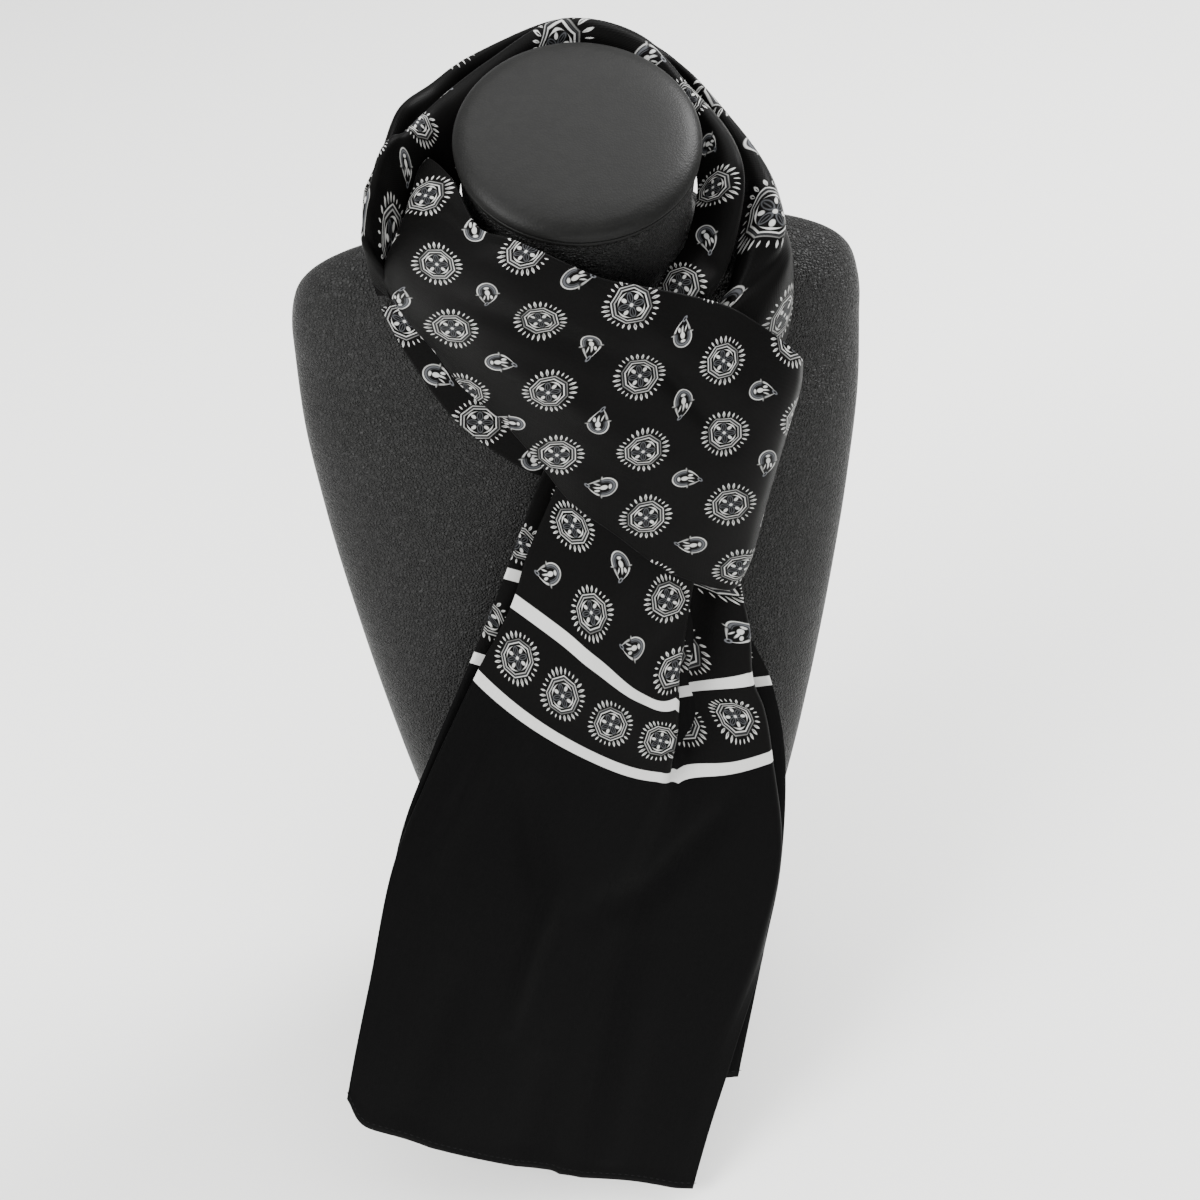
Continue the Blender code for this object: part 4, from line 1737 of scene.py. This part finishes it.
@dataclass(frozen=True)
class Lamp:
    """One soft area light."""

    name: str
    place: Triple
    aim: Triple
    size: Pair
    watts: float

    def build(self) -> None:
        """Make the light and turn it to its aim."""
        data = bpy.data.lights.new(self.name, "AREA")
        data.shape = "RECTANGLE"
        data.size, data.size_y = self.size
        data.energy = self.watts
        lamp = add_object(self.name, data)
        lamp.location = self.place
        lamp.rotation_euler = (Vector(self.aim) - Vector(self.place)).to_track_quat("-Z", "Y").to_euler()


@dataclass
class Studio:
    """Pale floor, soft lights, even surroundings and the camera."""

    floor_half: float = 3.0
    surround: Triple = (0.86, 0.865, 0.87)
    surround_strength: float = 0.80
    eye: Triple = (-0.0325, -0.370, 0.727)
    elevation: float = 48.0
    yaw: float = 4.443
    roll: float = 1.664
    lens: float = 45.0
    sensor: float = 36.0
    clip_start: float = 0.01
    lamps: tuple[Lamp, ...] = (
        Lamp("top_light", place=(0.0, 0.55, 1.9), aim=(0.0, 0.1, 0.2), size=(2.2, 1.7), watts=60.0),
        Lamp("upper_right_light", place=(1.15, 0.80, 1.50), aim=(0.0, 0.1, 0.4), size=(0.7, 0.7), watts=62.0),
        Lamp("front_light", place=(0.35, -1.7, 0.72), aim=(0.0, 0.0, 0.25), size=(2.0, 0.8), watts=23.0),
        Lamp("left_light", place=(-1.3, -0.5, 1.45), aim=(0.0, 0.0, 0.25), size=(0.8, 0.8), watts=52.0),
    )

    def build_floor(self) -> None:
        """Make the floor."""
        mesh = bpy.data.meshes.new("studio_floor")
        h = self.floor_half
        mesh.from_pydata([(-h, -h, 0.0), (h, -h, 0.0), (h, h, 0.0), (-h, h, 0.0)], [], [(0, 1, 2, 3)])
        mesh.materials.append(Paper().make())
        floor = add_object("studio_floor", mesh)

    def build_world(self) -> None:
        """Give the surroundings an even pale light."""
        world = bpy.data.worlds.new("studio_world")
        world.use_nodes = True
        back = world.node_tree.nodes["Background"]
        back.inputs["Color"].default_value = (*self.surround, 1.0)
        back.inputs["Strength"].default_value = self.surround_strength
        bpy.context.scene.world = world

    def build_camera(self) -> None:
        """Place the camera at the photograph's angle."""
        e, yaw, roll = radians(self.elevation), radians(self.yaw), radians(self.roll)
        spin = Matrix.Rotation(-yaw, 3, "Z")
        ahead = spin @ Vector((0.0, cos(e), -sin(e)))
        right, up = spin @ Vector((1.0, 0.0, 0.0)), spin @ Vector((0.0, sin(e), cos(e)))
        side = right * cos(roll) - up * sin(roll)
        top = right * sin(roll) + up * cos(roll)
        data = bpy.data.cameras.new("photo_camera")
        data.sensor_width, data.lens, data.clip_start = self.sensor, self.lens, self.clip_start
        camera = add_object("photo_camera", data)
        matrix = Matrix.Identity(4)
        for i in range(3):
            matrix[i][0], matrix[i][1], matrix[i][2], matrix[i][3] = side[i], top[i], -ahead[i], self.eye[i]
        camera.matrix_world = matrix
        bpy.context.scene.camera = camera

    def build(self) -> None:
        """Build the whole studio."""
        self.build_camera()
        self.build_world()
        self.build_floor()
        for lamp in self.lamps:
            lamp.build()


# Soft folds: start and end on the print, width and height in millimetres
FRONT_FOLDS = (
    Fold((2.9, -4.4), (2.7, -7.8), 4.5, 3.2),
    Fold((1.5, -2.3), (2.7, -4.9), 9.0, -3.8),
    Fold((5.3, -2.1), (3.7, -5.0), 8.0, -3.4),
    Fold((0.75, -2.4), (0.7, -5.2), 6.0, 2.8),
    Fold((4.6, -5.2), (4.9, -10.1), 11.0, 2.6),
    Fold((1.5, -6.6), (1.2, -10.1), 10.0, -2.4),
    Fold((3.4, -8.0), (3.5, -10.1), 9.0, -2.0),
    Fold((1.6, 2.4), (1.7, -0.8), 8.0, 1.2),
    Fold((2.9, 1.9), (3.1, -0.6), 6.0, -1.0),
)
OUTER_FOLDS = (
    Fold((2.3, 15.6), (1.5, 13.4), 3.0, -2.6),
)
CROSS_FOLDS = (
    Fold((3.9, 13.3), (3.25, 17.2), 6.5, -2.7),
    Fold((3.1, 16.5), (3.6, 18.8), 5.5, -2.8),
    Fold((4.55, 14.4), (4.45, 18.6), 7.5, 2.3),
    Fold((2.6, 14.6), (2.75, 18.6), 7.0, 2.0),
    Fold((5.3, 16.4), (5.15, 19.2), 6.0, -1.6),
    Fold((2.9, 11.4), (2.5, 14.0), 6.0, -1.4),
)


def scarf_stretches() -> dict[str, Stretch]:
    """Return every stretch of the scarf with its sizes and folds."""
    return {
        "front": FrontTail("scarf_front_tail", "tail_front", Held.HUNG, ("scarf_back_tail",), (0.166, 0.362),
                           steps=15, hem=True, folds=FRONT_FOLDS),
        "back": BackTail("scarf_back_tail", "tail_back", Held.HUNG, ("scarf_under_leaf",), (0.135, 0.362),
                         across=80, steps=16, hem=True),
        "cross": CrossPiece("scarf_cross_piece", "loop_top_leaf", Held.DRAPED, ("scarf_front_tail",),
                            (0.094, 0.215), across=130, steps=11, folds=CROSS_FOLDS),
        "under": UnderLeaf("scarf_under_leaf", "loop_under_leaf", Held.DRAPED, ("bust_cover",),
                           (0.04, 0.165), across=44, steps=12),
        "inner": NeckBand("scarf_inner_band", "neck_band_inner", Held.GATHERED, ("bust_cover",),
                          (0.052, 0.255), across=72, steps=10, table=INNER_BAND),
        "outer": NeckBand("scarf_outer_band", "neck_band_outer", Held.GATHERED, ("scarf_inner_band",),
                          (0.052, 0.260), across=72, steps=12, table=OUTER_BAND, folds=OUTER_FOLDS),
    }


def main() -> None:
    """Build the dressed scarf and bust in order, and report each piece."""
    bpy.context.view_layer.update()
    medallion, paisley = Medallion(), Paisley()
    foulard, weave, pebble = Foulard(medallion, paisley), Weave(), Pebble()
    cloth = PrintedCloth().make(foulard, weave)
    thread = Thread().make()
    body_leather = Leatherette().make(pebble)
    # The cap uses the body's leatherette, smoother and much darker in colour; the darker colour is painted
    # shade on the cap's upward-facing top
    cap_finish_painted_shade = Leatherette("leatherette_grey_cap_painted_shade", colour=(0.0056, 0.0056, 0.0053), roughness=0.36,
                             cells=900.0, relief=0.07, gloss=0.10)
    cap_leather_painted_shade = cap_finish_painted_shade.make(pebble)
    Studio().build()
    bust = Bust()
    for made in (bust.build_body(body_leather), bust.build_cap(cap_leather_painted_shade)):
        LOG.info("built %s: %d faces", made.name, len(made.data.polygons))
    stretches = scarf_stretches()
    made = {key: stretch.build(cloth) for key, stretch in stretches.items()}
    for key, piece in made.items():
        stretch, extras = stretches[key], ()
        if stretch.hem:
            grid = stretch.grid()
            stitches = HemStitches(f"{stretch.name}_stitches")
            extras = (stitches.build(stitches.path(grid, stretch.facing(grid)), thread),)
        stretch.declare(piece, extras)
        LOG.info("built %s: %d faces", piece.name, len(piece.data.polygons))


if __name__ == "__main__":
    logging.basicConfig(level=logging.INFO, format="%(message)s")
    main()
